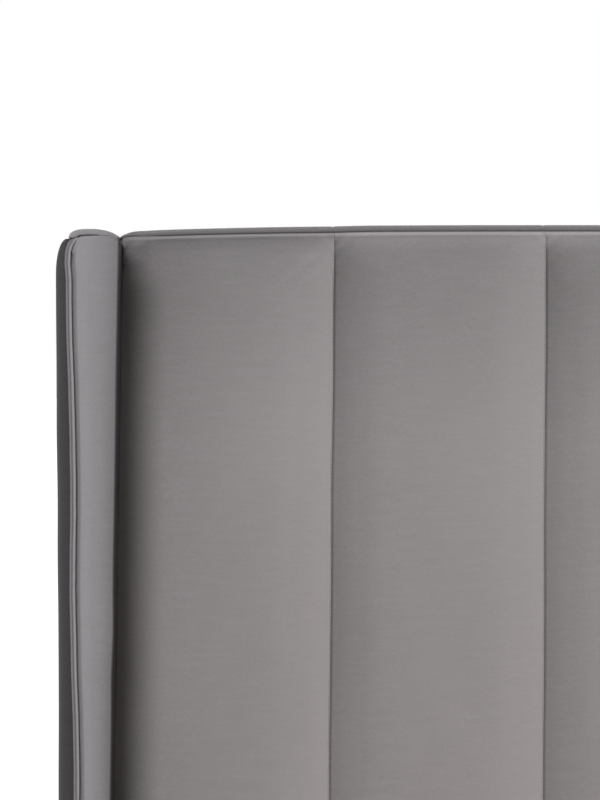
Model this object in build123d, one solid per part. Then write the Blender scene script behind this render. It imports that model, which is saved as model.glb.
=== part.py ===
from build123d import *
import os
from math import cos, degrees, atan2, hypot, radians, sin, sqrt

# An ottoman bed for a 1350 by 1900 mattress: a winged, channelled headboard, an upholstered box
# base with a storage floor, and a slatted platform that lifts at the foot on two gas-strut linkages.
# X runs across the bed, Y towards the headboard, Z up. The origin is on the floor, under the middle.
# All lengths are millimetres.

# Headboard and wings
headboard_height = 1220
border_height = 25
wing_top_drop = 5.5
ground_clearance = 35
taper_base = 480
wing_seam_half = 745
wing_width = 60
inner_lean_share = 0.0156
seam_lean_share = 0.0104
wing_projection = 137
band_thickness = 12
inner_pad_thickness = 8
outer_pad_crown = 20
outer_pad_edge = 6
outer_pad_roll = 26
outer_pad_rise = 35
piping_radius = 3.7
piping_bend_radius = 480
wing_corner_radius = 22
wing_inner_radius = 16
core_corner_radius = 18

# Headboard layers, front to back
channel_count = 5
channel_crown = 60
channel_seam_depth = 34
channel_top_depth = 30
channel_top_seam_depth = 22
channel_bottom = 300
channel_roll = 28
channel_top_inset = 9
channel_top_drop = 4
front_ply_thickness = 9
frame_depth = 40
back_cover_thickness = 3
stile_width = 50
frame_rail_height = 60
mid_rail_height = 330
border_seam_drop = 8.5
border_back_drop = 9.5
border_end_drop = 14

# Base
rail_height = 375
rail_core_thickness = 33
rail_pad = 12
rail_top_pad = 8
rail_corner_radius = 12
cover_clearance = 3
ledge_width = 40
ledge_height = 29.7
batten_width = 20
batten_height = 16
bearer_width = 60
floor_thickness = 9
floor_panel_count = 3
floor_panel_gap = 1
foot_radius = 15
glide_taper_share = 0.8

# Platform
platform_length = 1910
platform_side_gap = 30
platform_drop = 45
head_gap = 12
foot_gap = 20
tube_size = 30
tube_wall = 1.5
cross_tube_reaches = (490, 1190)
bay_slat_counts = (4, 6, 6)
slat_width = 53
slat_thickness = 8
slat_bow = 8
slat_seat = 6
slat_end_length = 32
slat_setback = 5
cap_length = 35
cap_wall = 5
cap_fit = 0.3
hoop_radius = 5
hoop_width = 260
hoop_height = 100
hoop_corner = 30
hoop_inset = 320
hoop_setback = 7
strap_width = 40
strap_thickness = 2.5
strap_tail = 42
strap_loop_height = 110
strap_loop_width = 22

# Lift linkage: pivots are given as reach from the platform's head end and drop below its top
main_pivot_reach = 666.8
main_pivot_drop = 45.0
second_pivot_reach = 908.3
second_pivot_drop = 155.9
main_pin_reach = 388.9
main_pin_drop = 25.0
second_pin_reach = 449.6
second_pin_drop = 75.0
strut_floor_gap = 5
strut_axis_angle = 230
strut_half_angle = 30
plate_thickness = 5
top_plate_thickness = 4
plane_gap = 1
arm_gap = 0.5
main_arm_half_width = 16
second_arm_half_width = 14
base_plate_margin = 23
top_plate_margin = 16
top_plate_flange = 30
top_plate_length = 110
pivot_radius = 5.5
pivot_head_radius = 9
pivot_head = 3.2
pivot_fit = 0.06
loose_fit = 1.3
loose_head_radius = 11
collar_radius = 9
strut_offset = 34
strut_pin_radius = 4
strut_eye_radius = 9
strut_eye_width = 11
cylinder_radius = 11
cylinder_bore = 9.5
cylinder_wall = 8
cylinder_guide = 6
rod_stub = 34
rod_radius = 5
rod_fit = 0.1
piston_length = 8
piston_fit = 0.3
piston_start = 26
clip_radius = 7
clip_thickness = 1.2

# Brackets and bolts
bracket_thickness = 4
bracket_leg = 72
bracket_low = 80
bracket_top_drop = 117
hook_leg = 68
hook_low = 110
hook_top_drop = 57
rest_bracket_width = 60
rest_bracket_drop = 56
rest_pad_thickness = 3.7
bolt_radius = 4
bolt_head_radius = 7.5
bolt_head = 4.5
bolt_fit = 0.2
bolt_reach = 28
bolt_inset_share = 0.2

# Faces round what repeats, hides or doesn't turn
bolt_sides = 6
pin_sides = 12
rod_sides = 8

# Running values
soft_gap = 0.3
overrun = 20

frame_top = headboard_height - border_height
wing_height = headboard_height - wing_top_drop
channel_top = headboard_height - channel_top_inset
wing_inner_half = wing_seam_half - wing_width

rail_thickness = rail_core_thickness + rail_pad
rail_inner_half = wing_seam_half - rail_thickness
headboard_depth = channel_crown + front_ply_thickness + frame_depth + back_cover_thickness
bed_length = rail_thickness + foot_gap + platform_length + head_gap + headboard_depth

back_y = bed_length / 2
frame_back_y = back_y - back_cover_thickness
frame_front_y = frame_back_y - frame_depth
ply_front_y = frame_front_y - front_ply_thickness
crown_y = ply_front_y - channel_crown
head_y = crown_y - head_gap
wing_front_y = crown_y - wing_projection
core_front_y = wing_front_y + band_thickness
platform_foot_y = head_y - platform_length
foot_inner_y = platform_foot_y - foot_gap
foot_core_y = foot_inner_y - rail_core_thickness
foot_outer_y = -back_y

rail_core_half = rail_inner_half + rail_core_thickness
rail_outer_half = rail_inner_half + rail_thickness
rail_core_top = rail_height - rail_top_pad
bracket_high = rail_core_top - bracket_top_drop
hook_high = rail_core_top - hook_top_drop
platform_half = rail_inner_half - platform_side_gap
platform_top = rail_height - platform_drop
tube_inner_half = platform_half - tube_size
hoop_offset = platform_half - hoop_inset
platform_low = platform_top - tube_size
floor_low = ground_clearance + batten_height
floor_top = floor_low + floor_thickness
band_top = wing_height - 2 * piping_radius
hook_front_y = core_front_y - bracket_thickness

base_plate_x = rail_inner_half - plate_thickness
main_arm_x = base_plate_x - plane_gap - plate_thickness
top_plate_x = main_arm_x - arm_gap - top_plate_thickness
second_arm_x = top_plate_x - arm_gap - plate_thickness
strut_x = rail_inner_half - strut_offset

parts = {}


def wing_inner(z):
    """Half the width between the wings at a height."""
    return wing_inner_half + inner_lean_share * (frame_top - max(z, taper_base))


def wing_seam(z):
    """Half the width over the seams of the wings' front bands at a height."""
    return wing_seam_half - seam_lean_share * (frame_top - max(z, taper_base))


def core_inner(z):
    return wing_inner(z) + inner_pad_thickness


def block(x0, x1, y0, y1, z0, z1):
    """A block between two corners."""
    return Pos((x0 + x1) / 2, (y0 + y1) / 2, (z0 + z1) / 2) * Box(x1 - x0, y1 - y0, z1 - z0)


def both_sides(shape):
    """A shape and its mirror image in the bed's middle plane."""
    return Compound(children=[shape, mirror(shape, about=Plane.YZ)])


def front_plate(outline, y0, y1):
    """Thicken an outline drawn in X and Z between two depths."""
    return extrude(Plane.XZ.offset(-y1) * outline, y1 - y0, dir=(0, -1, 0))


def side_plate(outline, x0, x1):
    """Thicken an outline drawn in Y and Z between two widths."""
    return extrude(Plane.YZ.offset(x0) * outline, x1 - x0, dir=(1, 0, 0))


def leaning_strip(inner, outer, z0, z1):
    """The outline between two leaning edges, each a half width as a function of height."""
    heights = [z0, taper_base, z1] if z0 < taper_base < z1 else [z0, z1]
    inner_points = [(inner(z), z) for z in heights]
    outer_points = [(outer(z), z) for z in reversed(heights)]
    return Polygon(*inner_points, *outer_points, align=None)


def rounded_corner(outline, x, z, radius):
    """Round the corner of an outline that lies nearest a point."""
    corner = outline.vertices().sort_by_distance((x, z, 0))[0]
    return fillet(corner, radius)


def x_rod(y, z, radius, x0, x1):
    """A round bar along X."""
    return Pos((x0 + x1) / 2, y, z) * Rot(0, 90, 0) * Cylinder(radius, abs(x1 - x0))


def z_rod(x, y, radius, z0, z1):
    """A round bar along Z."""
    return Pos(x, y, (z0 + z1) / 2) * Cylinder(radius, abs(z1 - z0))


def prism(sides, radius, length):
    """A bar on the Z axis with a few flat sides, from the origin up."""
    return extrude(RegularPolygon(radius, side_count=sides), length)


def x_prism(y, z, radius, x0, x1, sides=pin_sides):
    """Such a bar along X."""
    return Pos(min(x0, x1), y, z) * Rot(0, 90, 0) * prism(sides, radius, abs(x1 - x0))


def y_prism(x, z, radius, y0, y1, sides=pin_sides):
    """Such a bar along Y."""
    return Pos(x, min(y0, y1), z) * Rot(-90, 0, 0) * prism(sides, radius, abs(y1 - y0))


def z_prism(x, y, radius, z0, z1, sides=pin_sides):
    """Such a bar along Z."""
    return Pos(x, y, min(z0, z1)) * prism(sides, radius, abs(z1 - z0))


def tapered_prism(sides, low_radius, high_radius, height):
    """A tapered bar on the Z axis with a few flat sides, centred on the origin."""
    ends = [Plane.XY.offset(z) * RegularPolygon(radius, side_count=sides)
            for z, radius in ((-height / 2, low_radius), (height / 2, high_radius))]
    return loft(ends, ruled=True)


def hexagon_head(x, y, z):
    """A bolt head or a nut that stands on a point."""
    return Pos(x, y, z) * prism(6, bolt_head_radius, bolt_head)


def hexagon_bolt(reach):
    """A bolt on the Z axis: its head stands on the origin, its shank runs down."""
    return hexagon_head(0, 0, 0) + z_prism(0, 0, bolt_radius, -reach, 0, bolt_sides)


def x_bolt(y, z, seat, direction, reach):
    """A bolt along X: its head lies on the seat, its shank runs on in the direction."""
    return Pos(seat, y, z) * Rot(0, -90 * direction, 0) * hexagon_bolt(reach)


def y_bolt(x, z, seat, direction, reach):
    """A bolt along Y, as above."""
    return Pos(x, seat, z) * Rot(90 * direction, 0, 0) * hexagon_bolt(reach)


def x_hole(y, z, seat, direction, reach):
    start = seat - direction * overrun
    return x_prism(y, z, bolt_radius + bolt_fit, start, seat + direction * (reach + bolt_fit), bolt_sides)


def y_hole(x, z, seat, direction, reach):
    start = seat - direction * overrun
    return y_prism(x, z, bolt_radius + bolt_fit, start, seat + direction * (reach + bolt_fit), bolt_sides)


# Headboard frame and panels
def head_frame():
    """Two stiles and three rails, screwed up behind the front panel."""
    stile = front_plate(
        leaning_strip(lambda z: core_inner(z) - stile_width, core_inner, ground_clearance, frame_top),
        frame_front_y, frame_back_y)
    for z in wing_bolt_heights:
        stile -= x_hole(wing_bolt_y, z, core_inner(z) - stile_width, 1, stile_width)
    solids = [stile, mirror(stile, about=Plane.YZ)]
    for low in (ground_clearance, mid_rail_height, frame_top - frame_rail_height):
        high = low + frame_rail_height
        right = [(core_inner(low) - stile_width, low), (core_inner(high) - stile_width, high)]
        left = [(-x, z) for x, z in reversed(right)]
        solids.append(front_plate(Polygon(*right, *left, align=None), frame_front_y, frame_back_y))
    return Compound(children=solids)


def full_width_outline(edge, z0, z1):
    """A panel outline that is symmetrical and follows a leaning edge on both sides."""
    right = [(edge(z), z) for z in (z0, taper_base, z1)]
    left = [(-x, z) for x, z in reversed(right)]
    return Polygon(*right, *left, align=None)


def front_ply():
    outline = full_width_outline(core_inner, ground_clearance, frame_top)
    return front_plate(outline, ply_front_y, frame_front_y)


def back_cover():
    outline = full_width_outline(wing_seam, ground_clearance + cover_clearance, frame_top)
    return front_plate(outline, frame_back_y, back_y)


# Channel cushions: each a tall pad with a round crown, drawn in at its seams and rolled at both ends
def channel_edge(index, z):
    """The X of the seam left of a channel at a height; the seams fan out like the wings."""
    share = 2 * index / channel_count - 1
    return share * wing_inner(z)


def channel_section(index, z, crown, seam):
    left = channel_edge(index, z) + soft_gap
    right = channel_edge(index + 1, z) - soft_gap
    back = ply_front_y - soft_gap
    sides = Polyline((left, back - seam), (left, back), (right, back), (right, back - seam))
    face = ThreePointArc((right, back - seam), ((left + right) / 2, back - crown), (left, back - seam))
    return Plane.XY.offset(z) * make_face(sides.edges() + face.edges())


def channel(index):
    """Loft one channel; the top falls a little towards the wings."""
    middle = (channel_count - 1) / 2
    top = channel_top - channel_top_drop * (abs(index - middle) / middle) ** 2
    crown = channel_crown - soft_gap
    low = channel_bottom
    sections = []
    for share in roll_shares:
        depth_share = sqrt(1 - (1 - share) ** 2)
        face_depth = channel_top_depth + depth_share * (crown - channel_top_depth)
        seam_depth = channel_top_seam_depth + depth_share * (channel_seam_depth - channel_top_seam_depth)
        sections.append((low + share * channel_roll, face_depth, seam_depth))
    upper = [(low + top - z, c, s) for z, c, s in reversed(sections)]
    sections.append((taper_base, crown, channel_seam_depth))
    cushion = loft([channel_section(index, *place) for place in sections + upper], ruled=True)
    return cushion - block(-wing_seam_half, wing_seam_half, border_front_y - soft_gap, back_y,
                           frame_top, headboard_height)


def border_top(share):
    """Height of the headboard's top edge at a share of its half width, from the middle."""
    return headboard_height - border_end_drop * border_fall_shares[share]


def border_section(x, top):
    """Profile of the top border in Y and Z: flat below, with a seam in front and a crown."""
    low = frame_top + soft_gap
    seam = top - border_seam_drop
    back = top - border_back_drop
    base = Polyline((border_front_y, seam), (border_front_y, low), (back_y, low), (back_y, back))
    middle = (border_front_y + back_y) / 2
    crown = ThreePointArc((back_y, back), (middle, top), (border_front_y, seam))
    return Plane.YZ.offset(x) * make_face(base.edges() + crown.edges())


def top_border():
    half = wing_inner_half - soft_gap
    places = [(half * share, border_top(share)) for share in sorted(border_fall_shares)]
    mirrored = [(-x, top) for x, top in reversed(places[1:])]
    return loft([border_section(x, top) for x, top in mirrored + places], ruled=True)


# Wings
def wing_core():
    """The tapered board inside a wing."""
    outline = leaning_strip(core_inner, wing_seam, ground_clearance, frame_top)
    outline = rounded_corner(outline, wing_seam(frame_top), frame_top, core_corner_radius)
    core = front_plate(outline, core_front_y, frame_back_y)
    for z in wing_bolt_heights:
        core -= x_hole(wing_bolt_y, z, core_inner(z), 1, bolt_reach / 2)
    for z in hook_bolt_heights:
        core -= y_hole(hook_screw_x, z, core_front_y, 1, bolt_reach)
    return core


def wing_edge_pad():
    """The padded front band, and the top pad that runs back over the core."""
    low = rail_height + soft_gap
    band = leaning_strip(wing_inner, wing_seam, low, band_top)
    band = rounded_corner(band, wing_seam(band_top), band_top, wing_corner_radius)
    band = rounded_corner(band, wing_inner(band_top), band_top, wing_inner_radius)
    front = front_plate(band, wing_front_y, core_front_y - soft_gap)
    rim = front.faces().sort_by(Axis.Y)[0].edges()
    front = fillet(rim, band_thickness / 2)
    top_low = frame_top + soft_gap
    outer = wing_seam(frame_top) + 2 * piping_radius
    cap = Polygon((wing_inner_half, top_low), (outer, top_low), (outer, wing_height),
                  (wing_inner_half, wing_height), align=None)
    cap = rounded_corner(cap, outer, wing_height, wing_height - top_low - soft_gap)
    cap = rounded_corner(cap, wing_inner_half, wing_height, wing_inner_radius)
    return front + front_plate(cap, boxing_front_y, back_y)


def wing_inner_pad():
    outline = leaning_strip(wing_inner, lambda z: core_inner(z) - soft_gap, rail_height + soft_gap, frame_top)
    return front_plate(outline, core_front_y, ply_front_y - soft_gap)


def outer_pad_section(z, crown):
    """Plan of the outer side pad: rolled hard at the piping, rolled softly at the back."""
    base = wing_seam(z) + soft_gap
    edge = base + outer_pad_edge * crown / outer_pad_crown
    face = base + crown
    front = boxing_front_y
    rear = back_y
    roll = outer_pad_roll
    bulge = roll * (1 - sqrt(0.5))
    lift = (face - edge) * sqrt(0.5)
    front_roll = ThreePointArc((edge, front), (edge + lift, front + bulge), (face, front + roll))
    rear_roll = ThreePointArc((face, rear - roll), (edge + lift, rear - bulge), (edge, rear))
    lines = Polyline((edge, rear), (base, rear), (base, front), (edge, front))
    flat = Line((face, front + roll), (face, rear - roll))
    edges = front_roll.edges() + flat.edges() + rear_roll.edges() + lines.edges()
    return Plane.XY.offset(z) * make_face(edges)


def wing_outer_pad():
    low = ground_clearance + cover_clearance
    places = [(low, outer_pad_crown), (taper_base, outer_pad_crown)]
    for share in (0, *roll_shares):
        z = frame_top - outer_pad_rise + share * outer_pad_rise
        crown = outer_pad_crown * (outer_pad_top_share + (1 - outer_pad_top_share) * sqrt(1 - share ** 2))
        places.append((z, crown))
    return loft([outer_pad_section(z, crown) for z, crown in places], ruled=True)


def wing_piping():
    """A cord that runs up the front edge, round the top corner and in to the headboard."""
    out = piping_radius + soft_gap
    low = ground_clearance + cover_clearance
    top = band_top + out
    path = FilletPolyline((wing_seam(low) + out, low), (wing_seam(taper_base) + out, taper_base),
                          (wing_seam(band_top) + out, top), (wing_inner_half + wing_inner_radius, top),
                          radius=[piping_bend_radius, wing_corner_radius + out])
    path = Plane.XZ.offset(-(wing_front_y + out)) * path
    section = RegularPolygon(piping_radius, side_count=rod_sides)
    return sweep(Plane(origin=path @ 0, z_dir=path % 0) * section, path=path)


# Base: rails, covers, ledges and floor
def side_rail():
    rail = block(rail_inner_half, rail_core_half, foot_inner_y, hook_front_y, ground_clearance, rail_core_top)
    for y, z in base_plate_bolts + hook_bolts + rest_bolts:
        rail -= x_hole(y, z, rail_inner_half, 1, bolt_reach)
    for z in foot_bracket_heights:
        rail -= x_hole(foot_bolt_y, z, rail_inner_half, 1, bolt_reach)
    return rail


def foot_rail():
    rail = block(-rail_core_half, rail_core_half, foot_core_y, foot_inner_y, ground_clearance, rail_core_top)
    for z in foot_bracket_heights:
        for x in (-foot_bolt_x, foot_bolt_x):
            rail -= y_hole(x, z, foot_inner_y, -1, bolt_reach)
    return rail


def side_rail_cover():
    """Padding over the outside and the top of a side rail, with a rounded top edge."""
    low = ground_clearance + cover_clearance
    inner = rail_core_half + soft_gap
    top = rail_core_top + soft_gap
    profile = Polygon((inner, low), (rail_outer_half, low), (rail_outer_half, rail_height),
                      (rail_inner_half, rail_height), (rail_inner_half, top), (inner, top), align=None)
    profile = rounded_corner(profile, rail_outer_half, rail_height, rail_corner_radius)
    cover = front_plate(profile, foot_inner_y + soft_gap, wing_front_y - soft_gap)
    y0 = foot_core_y + soft_gap
    return cover + block(inner, rail_outer_half, y0, foot_inner_y + overrun, low, top - overrun)


def foot_rail_cover():
    """Padding over the outside, the ends and the top of the foot rail."""
    low = ground_clearance + cover_clearance
    inner = foot_core_y - soft_gap
    top = rail_core_top + soft_gap
    profile = Polygon((inner, low), (foot_outer_y, low), (foot_outer_y, rail_height),
                      (foot_inner_y, rail_height), (foot_inner_y, top), (inner, top), align=None)
    profile = rounded_corner(profile, foot_outer_y, rail_height, rail_corner_radius)
    cover = side_plate(profile, -rail_outer_half, rail_outer_half)
    posts = cover.edges().filter_by(Axis.Z).group_by(Axis.Y)[0]
    return fillet(posts, rail_corner_radius / 2)


def foot_ledge():
    """The batten on the foot rail that the platform's foot tube lies on."""
    half = rail_inner_half - bracket_thickness - soft_gap
    high = platform_low - soft_gap
    return block(-half, half, foot_inner_y, foot_inner_y + ledge_width, high - ledge_height, high)


def floor_battens():
    """Battens along the rails and two bearers under the joints of the floor panels."""
    low = ground_clearance
    high = floor_low
    side = block(rail_inner_half - batten_width, rail_inner_half, foot_inner_y, wing_front_y, low, high)
    half = rail_inner_half - batten_width
    solids = [side, mirror(side, about=Plane.YZ)]
    solids.append(block(-half, half, foot_inner_y, foot_inner_y + batten_width, low, high))
    solids.append(block(-half, half, ply_front_y - batten_width, ply_front_y, low, high))
    for y in floor_joints:
        solids.append(block(-half, half, y - bearer_width / 2, y + bearer_width / 2, low, high))
    return Compound(children=solids)


def storage_floor():
    edges = [foot_inner_y, *floor_joints, ply_front_y]
    half = rail_inner_half - soft_gap
    gap = floor_panel_gap / 2
    panels = [block(-half, half, start + gap, end - gap, floor_low, floor_top)
              for start, end in zip(edges, edges[1:])]
    return Compound(children=panels)


def feet():
    """Tapered glides under the rails, the wings, the headboard and the bearers."""
    rail_x = rail_inner_half + rail_core_thickness / 2
    wing_x = (core_inner(ground_clearance) + wing_seam(ground_clearance)) / 2
    frame_y = (frame_front_y + frame_back_y) / 2
    places = [(0, (foot_core_y + foot_inner_y) / 2), (0, frame_y)]
    for side in (-1, 1):
        places += [(side * rail_x, y) for y in rail_foot_places]
        places.append((side * wing_x, frame_y))
    places += [(0, y) for y in floor_joints]
    glide = tapered_prism(pin_sides, foot_radius * glide_taper_share, foot_radius, ground_clearance)
    return Compound(children=[Pos(x, y, ground_clearance / 2) * glide for x, y in places])


# Brackets between the panels
def foot_bracket():
    """An angle inside the corner of a side rail and the foot rail."""
    inner = rail_inner_half - bracket_thickness
    bracket = block(inner, rail_inner_half, foot_inner_y, foot_inner_y + bracket_leg,
                    bracket_low, bracket_high)
    bracket += block(rail_inner_half - bracket_leg, rail_inner_half, foot_inner_y,
                     foot_inner_y + bracket_thickness, bracket_low, bracket_high)
    for z in foot_bracket_heights:
        bracket -= x_hole(foot_bolt_y, z, inner, 1, bolt_reach)
        bracket -= y_hole(foot_bolt_x, z, foot_inner_y + bracket_thickness, -1, bolt_reach)
    return bracket


def rail_hook():
    """An angle that hangs a side rail on the front of a wing."""
    inner = rail_inner_half - bracket_thickness
    wide = wing_seam(ground_clearance)
    hook = block(inner, rail_inner_half, core_front_y - hook_leg, core_front_y, hook_low, hook_high)
    hook += block(inner, wide, hook_front_y, core_front_y, hook_low, hook_high)
    for y, z in hook_bolts:
        hook -= x_hole(y, z, inner, 1, bolt_reach)
    for z in hook_bolt_heights:
        hook -= hook_screw(z, bolt_fit)
    return hook


def hook_screw(z, fit):
    """A countersunk screw through the hook into the wing's core, or with a fit its hole."""
    head = tapered_prism(bolt_sides, bolt_head_radius + fit, bolt_radius + fit, bracket_thickness)
    head = Pos(hook_screw_x, hook_front_y + bracket_thickness / 2, z) * Rot(-90, 0, 0) * head
    end = core_front_y + bolt_reach
    return head + y_prism(hook_screw_x, z, bolt_radius + fit, hook_front_y, end, bolt_sides)


def rest_bracket():
    """A shelf on a side rail under the platform's side tube, with a rubber pad on it."""
    top = platform_low - soft_gap - rest_pad_thickness
    inner = rail_inner_half - bracket_thickness
    y0 = rest_y - rest_bracket_width / 2
    y1 = rest_y + rest_bracket_width / 2
    shelf = block(tube_inner_half, rail_inner_half, y0, y1, top - bracket_thickness, top)
    shelf += block(inner, rail_inner_half, y0, y1, top - rest_bracket_drop, top)
    for y, z in rest_bolts:
        shelf -= x_hole(y, z, inner, 1, bolt_reach)
    pad = block(tube_inner_half, platform_half, y0, y1, top, top + rest_pad_thickness)
    return Compound(children=[shelf, pad])


def frame_bolts():
    """Every bolt that holds the frame, the brackets and the lift plates."""
    inner = rail_inner_half - bracket_thickness
    bolts = [x_bolt(y, z, base_plate_x, 1, bolt_reach) for y, z in base_plate_bolts]
    bolts += [x_bolt(y, z, inner, 1, bolt_reach) for y, z in hook_bolts + rest_bolts]
    bolts += [hook_screw(z, 0) for z in hook_bolt_heights]
    for z in foot_bracket_heights:
        bolts.append(x_bolt(foot_bolt_y, z, inner, 1, bolt_reach))
        bolts.append(y_bolt(foot_bolt_x, z, foot_inner_y + bracket_thickness, -1, bolt_reach))
    for z in wing_bolt_heights:
        seat = core_inner(z) - stile_width - bolt_fit
        bolts.append(x_bolt(wing_bolt_y, z, seat, 1, stile_width + bolt_reach / 2))
    return Compound(children=[copy for bolt in bolts for copy in (bolt, mirror(bolt, about=Plane.YZ))])


# Platform: tubes, slats and fittings
def tube(x0, x1, y0, y1, along):
    """A square steel tube, open at both ends."""
    outer = block(x0, x1, y0, y1, platform_low, platform_top)
    w = tube_wall
    if along == "x":
        return outer - block(x0, x1, y0 + w, y1 - w, platform_low + w, platform_top - w)
    return outer - block(x0 + w, x1 - w, y0, y1, platform_low + w, platform_top - w)


def side_tube():
    bar = tube(tube_inner_half, platform_half, platform_foot_y, head_y, "y")
    for y in flange_bolt_places:
        bar -= z_prism(flange_bolt_x, y, bolt_radius + bolt_fit, platform_low - overrun,
                       platform_top + overrun, bolt_sides)
    return bar


def cross_tube(y):
    return tube(-tube_inner_half, tube_inner_half, y - tube_size / 2, y + tube_size / 2, "x")


def foot_tube():
    """The cross tube at the foot, drilled for the strap's screws."""
    bar = cross_tube(foot_tube_y)
    for z in strap_bolt_heights:
        bar -= y_prism(0, z, bolt_radius + bolt_fit, platform_foot_y - overrun, foot_tube_y, bolt_sides)
    return bar


def centre_tube():
    """The tube down the middle, in lengths between the cross tubes."""
    half = tube_size / 2
    stops = [head_tube_y, *cross_tube_places, foot_tube_y]
    return Compound(children=[tube(-half, half, end + half, start - half, "y")
                              for start, end in zip(stops, stops[1:])])


def slat(y):
    """One sprung slat: straight ends in its caps and a bowed middle."""
    x0 = tube_size / 2 + slat_setback
    x1 = tube_inner_half - slat_setback
    low = platform_low + slat_low
    high = low + slat_thickness
    middle = (x0 + x1) / 2
    a = x0 + slat_end_length
    b = x1 - slat_end_length
    lower = ThreePointArc((a, low), (middle, low + slat_bow), (b, low))
    upper = ThreePointArc((b, high), (middle, high + slat_bow), (a, high))
    near = Polyline((a, high), (x0, high), (x0, low), (a, low))
    far = Polyline((b, low), (x1, low), (x1, high), (b, high))
    face = make_face(lower.edges() + far.edges() + upper.edges() + near.edges())
    return front_plate(face, y - slat_width / 2, y + slat_width / 2)


def slat_cap(x_wall, direction, y):
    """A plastic pocket on a tube's side, open towards the slat."""
    x_open = x_wall + direction * cap_length
    x_floor = x_wall + direction * (slat_setback - cap_fit)
    low = platform_low + slat_low - cap_fit
    high = platform_low + slat_low + slat_thickness + cap_fit
    half = slat_width / 2 + cap_fit
    body = block(min(x_wall, x_open), max(x_wall, x_open), y - half - cap_wall, y + half + cap_wall,
                 low - cap_wall, high + cap_wall / 2)
    pocket_end = x_open + direction * overrun
    return body - block(min(x_floor, pocket_end), max(x_floor, pocket_end), y - half, y + half, low, high)


def slat_places():
    """Slat centres, spread evenly over the bays between the cross tubes."""
    stops = [head_tube_y, *cross_tube_places, foot_tube_y]
    places = []
    for start, end, count in zip(stops, stops[1:], bay_slat_counts):
        clear = start - end - tube_size
        places += [start - tube_size / 2 - clear * (i + 0.5) / count for i in range(count)]
    return places


def slat_caps():
    caps = []
    for y in slat_places():
        for side in (-1, 1):
            caps.append(slat_cap(side * tube_inner_half, -side, y))
            caps.append(slat_cap(side * tube_size / 2, side, y))
    return Compound(children=caps)


def mattress_hoop():
    """A bent rod on the foot tube that keeps the mattress on the raised platform."""
    half = hoop_width / 2
    y = platform_foot_y + hoop_setback
    top = platform_top + hoop_height
    path = FilletPolyline((hoop_offset - half, platform_top), (hoop_offset - half, top),
                          (hoop_offset + half, top), (hoop_offset + half, platform_top), radius=hoop_corner)
    path = Plane.XZ.offset(-y) * path
    section = RegularPolygon(hoop_radius, side_count=rod_sides)
    return sweep(Plane(origin=path @ 0, z_dir=path % 0) * section, path=path)


def pull_strap():
    """A webbing loop sewn to a doubled tail, screwed to the outside of the foot tube."""
    outer = platform_foot_y - 2 * strap_thickness
    low = platform_low + strap_thickness
    tail = block(-strap_width / 2, strap_width / 2, outer, platform_foot_y, low, low + strap_tail)
    bottom = low + strap_tail - strap_thickness
    middle_y = outer + strap_loop_width / 2
    middle_z = bottom + strap_loop_height / 2
    ring = Pos(middle_y, middle_z) * (
        RectangleRounded(strap_loop_width, strap_loop_height, strap_loop_width / 2 - strap_thickness)
        - RectangleRounded(strap_loop_width - 2 * strap_thickness, strap_loop_height - 2 * strap_thickness,
                           strap_loop_width / 2 - 2 * strap_thickness))
    loop = side_plate(ring, -strap_width / 2, strap_width / 2)
    strap = tail + loop
    for z in strap_bolt_heights:
        strap -= y_hole(0, z, outer, 1, strap_width)
    return strap


# Lift linkage, drawn for the right-hand side
def circle_at(point, radius):
    return Pos(*point) * Circle(radius)


def hull_of(circles):
    """The outline stretched round some circles."""
    return make_hull([edge for circle in circles for edge in circle.edges()])


def base_plate():
    """The steel plate on the side rail that carries both arms and the strut."""
    outline = hull_of([circle_at(p, base_plate_margin) for p in (main_pivot, second_pivot, strut_foot)])
    plate = side_plate(outline, base_plate_x, rail_inner_half)
    for point in (main_pivot, second_pivot, strut_foot):
        plate -= x_prism(*point, pivot_radius, base_plate_x - overrun, rail_inner_half + overrun)
    for y, z in base_plate_bolts:
        plate -= x_hole(y, z, base_plate_x, 1, bolt_reach)
    return plate


def main_arm():
    """The cranked arm: it lifts the platform and carries the strut's stud."""
    circles = [circle_at(main_pivot, main_arm_half_width + plane_gap),
               circle_at(main_pin, main_arm_half_width), circle_at(strut_stud, main_arm_half_width)]
    x1 = main_arm_x + plate_thickness
    arm = side_plate(hull_of(circles), main_arm_x, x1)
    for point in (main_pivot, main_pin):
        arm -= x_rod(*point, pivot_radius + pivot_fit, main_arm_x - overrun, x1 + overrun)
    centre = (sum(p[0] for p in (main_pivot, main_pin, strut_stud)) / 3,
              sum(p[1] for p in (main_pivot, main_pin, strut_stud)) / 3)
    arm -= x_rod(*centre, main_arm_half_width * arm_window_share, main_arm_x - overrun, x1 + overrun)
    eye_outer = strut_x + strut_eye_width / 2
    eye_inner = strut_x - strut_eye_width / 2
    arm += x_prism(*strut_stud, collar_radius, eye_outer + soft_gap, main_arm_x)
    arm += x_prism(*strut_stud, strut_pin_radius, eye_inner - 2 * clip_thickness, eye_outer + soft_gap)
    return Compound(children=[arm, e_clip(strut_stud)])


def e_clip(point):
    """The spring clip that keeps a strut eye on its stud."""
    x1 = strut_x - strut_eye_width / 2 - soft_gap / 3
    ring = x_prism(*point, clip_radius, x1 - clip_thickness, x1)
    return ring - x_prism(*point, strut_pin_radius, x1 - overrun, x1 + overrun)


def second_arm():
    """The long straight arm that steers the platform's tilt."""
    circles = [circle_at(p, second_arm_half_width) for p in (second_pivot, second_pin)]
    x1 = second_arm_x + plate_thickness
    arm = side_plate(hull_of(circles), second_arm_x, x1)
    arm -= x_rod(*second_pivot, pivot_radius + pivot_fit, second_arm_x - overrun, x1 + overrun)
    return arm - x_rod(*second_pin, pivot_radius + loose_fit, second_arm_x - overrun, x1 + overrun)


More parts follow.
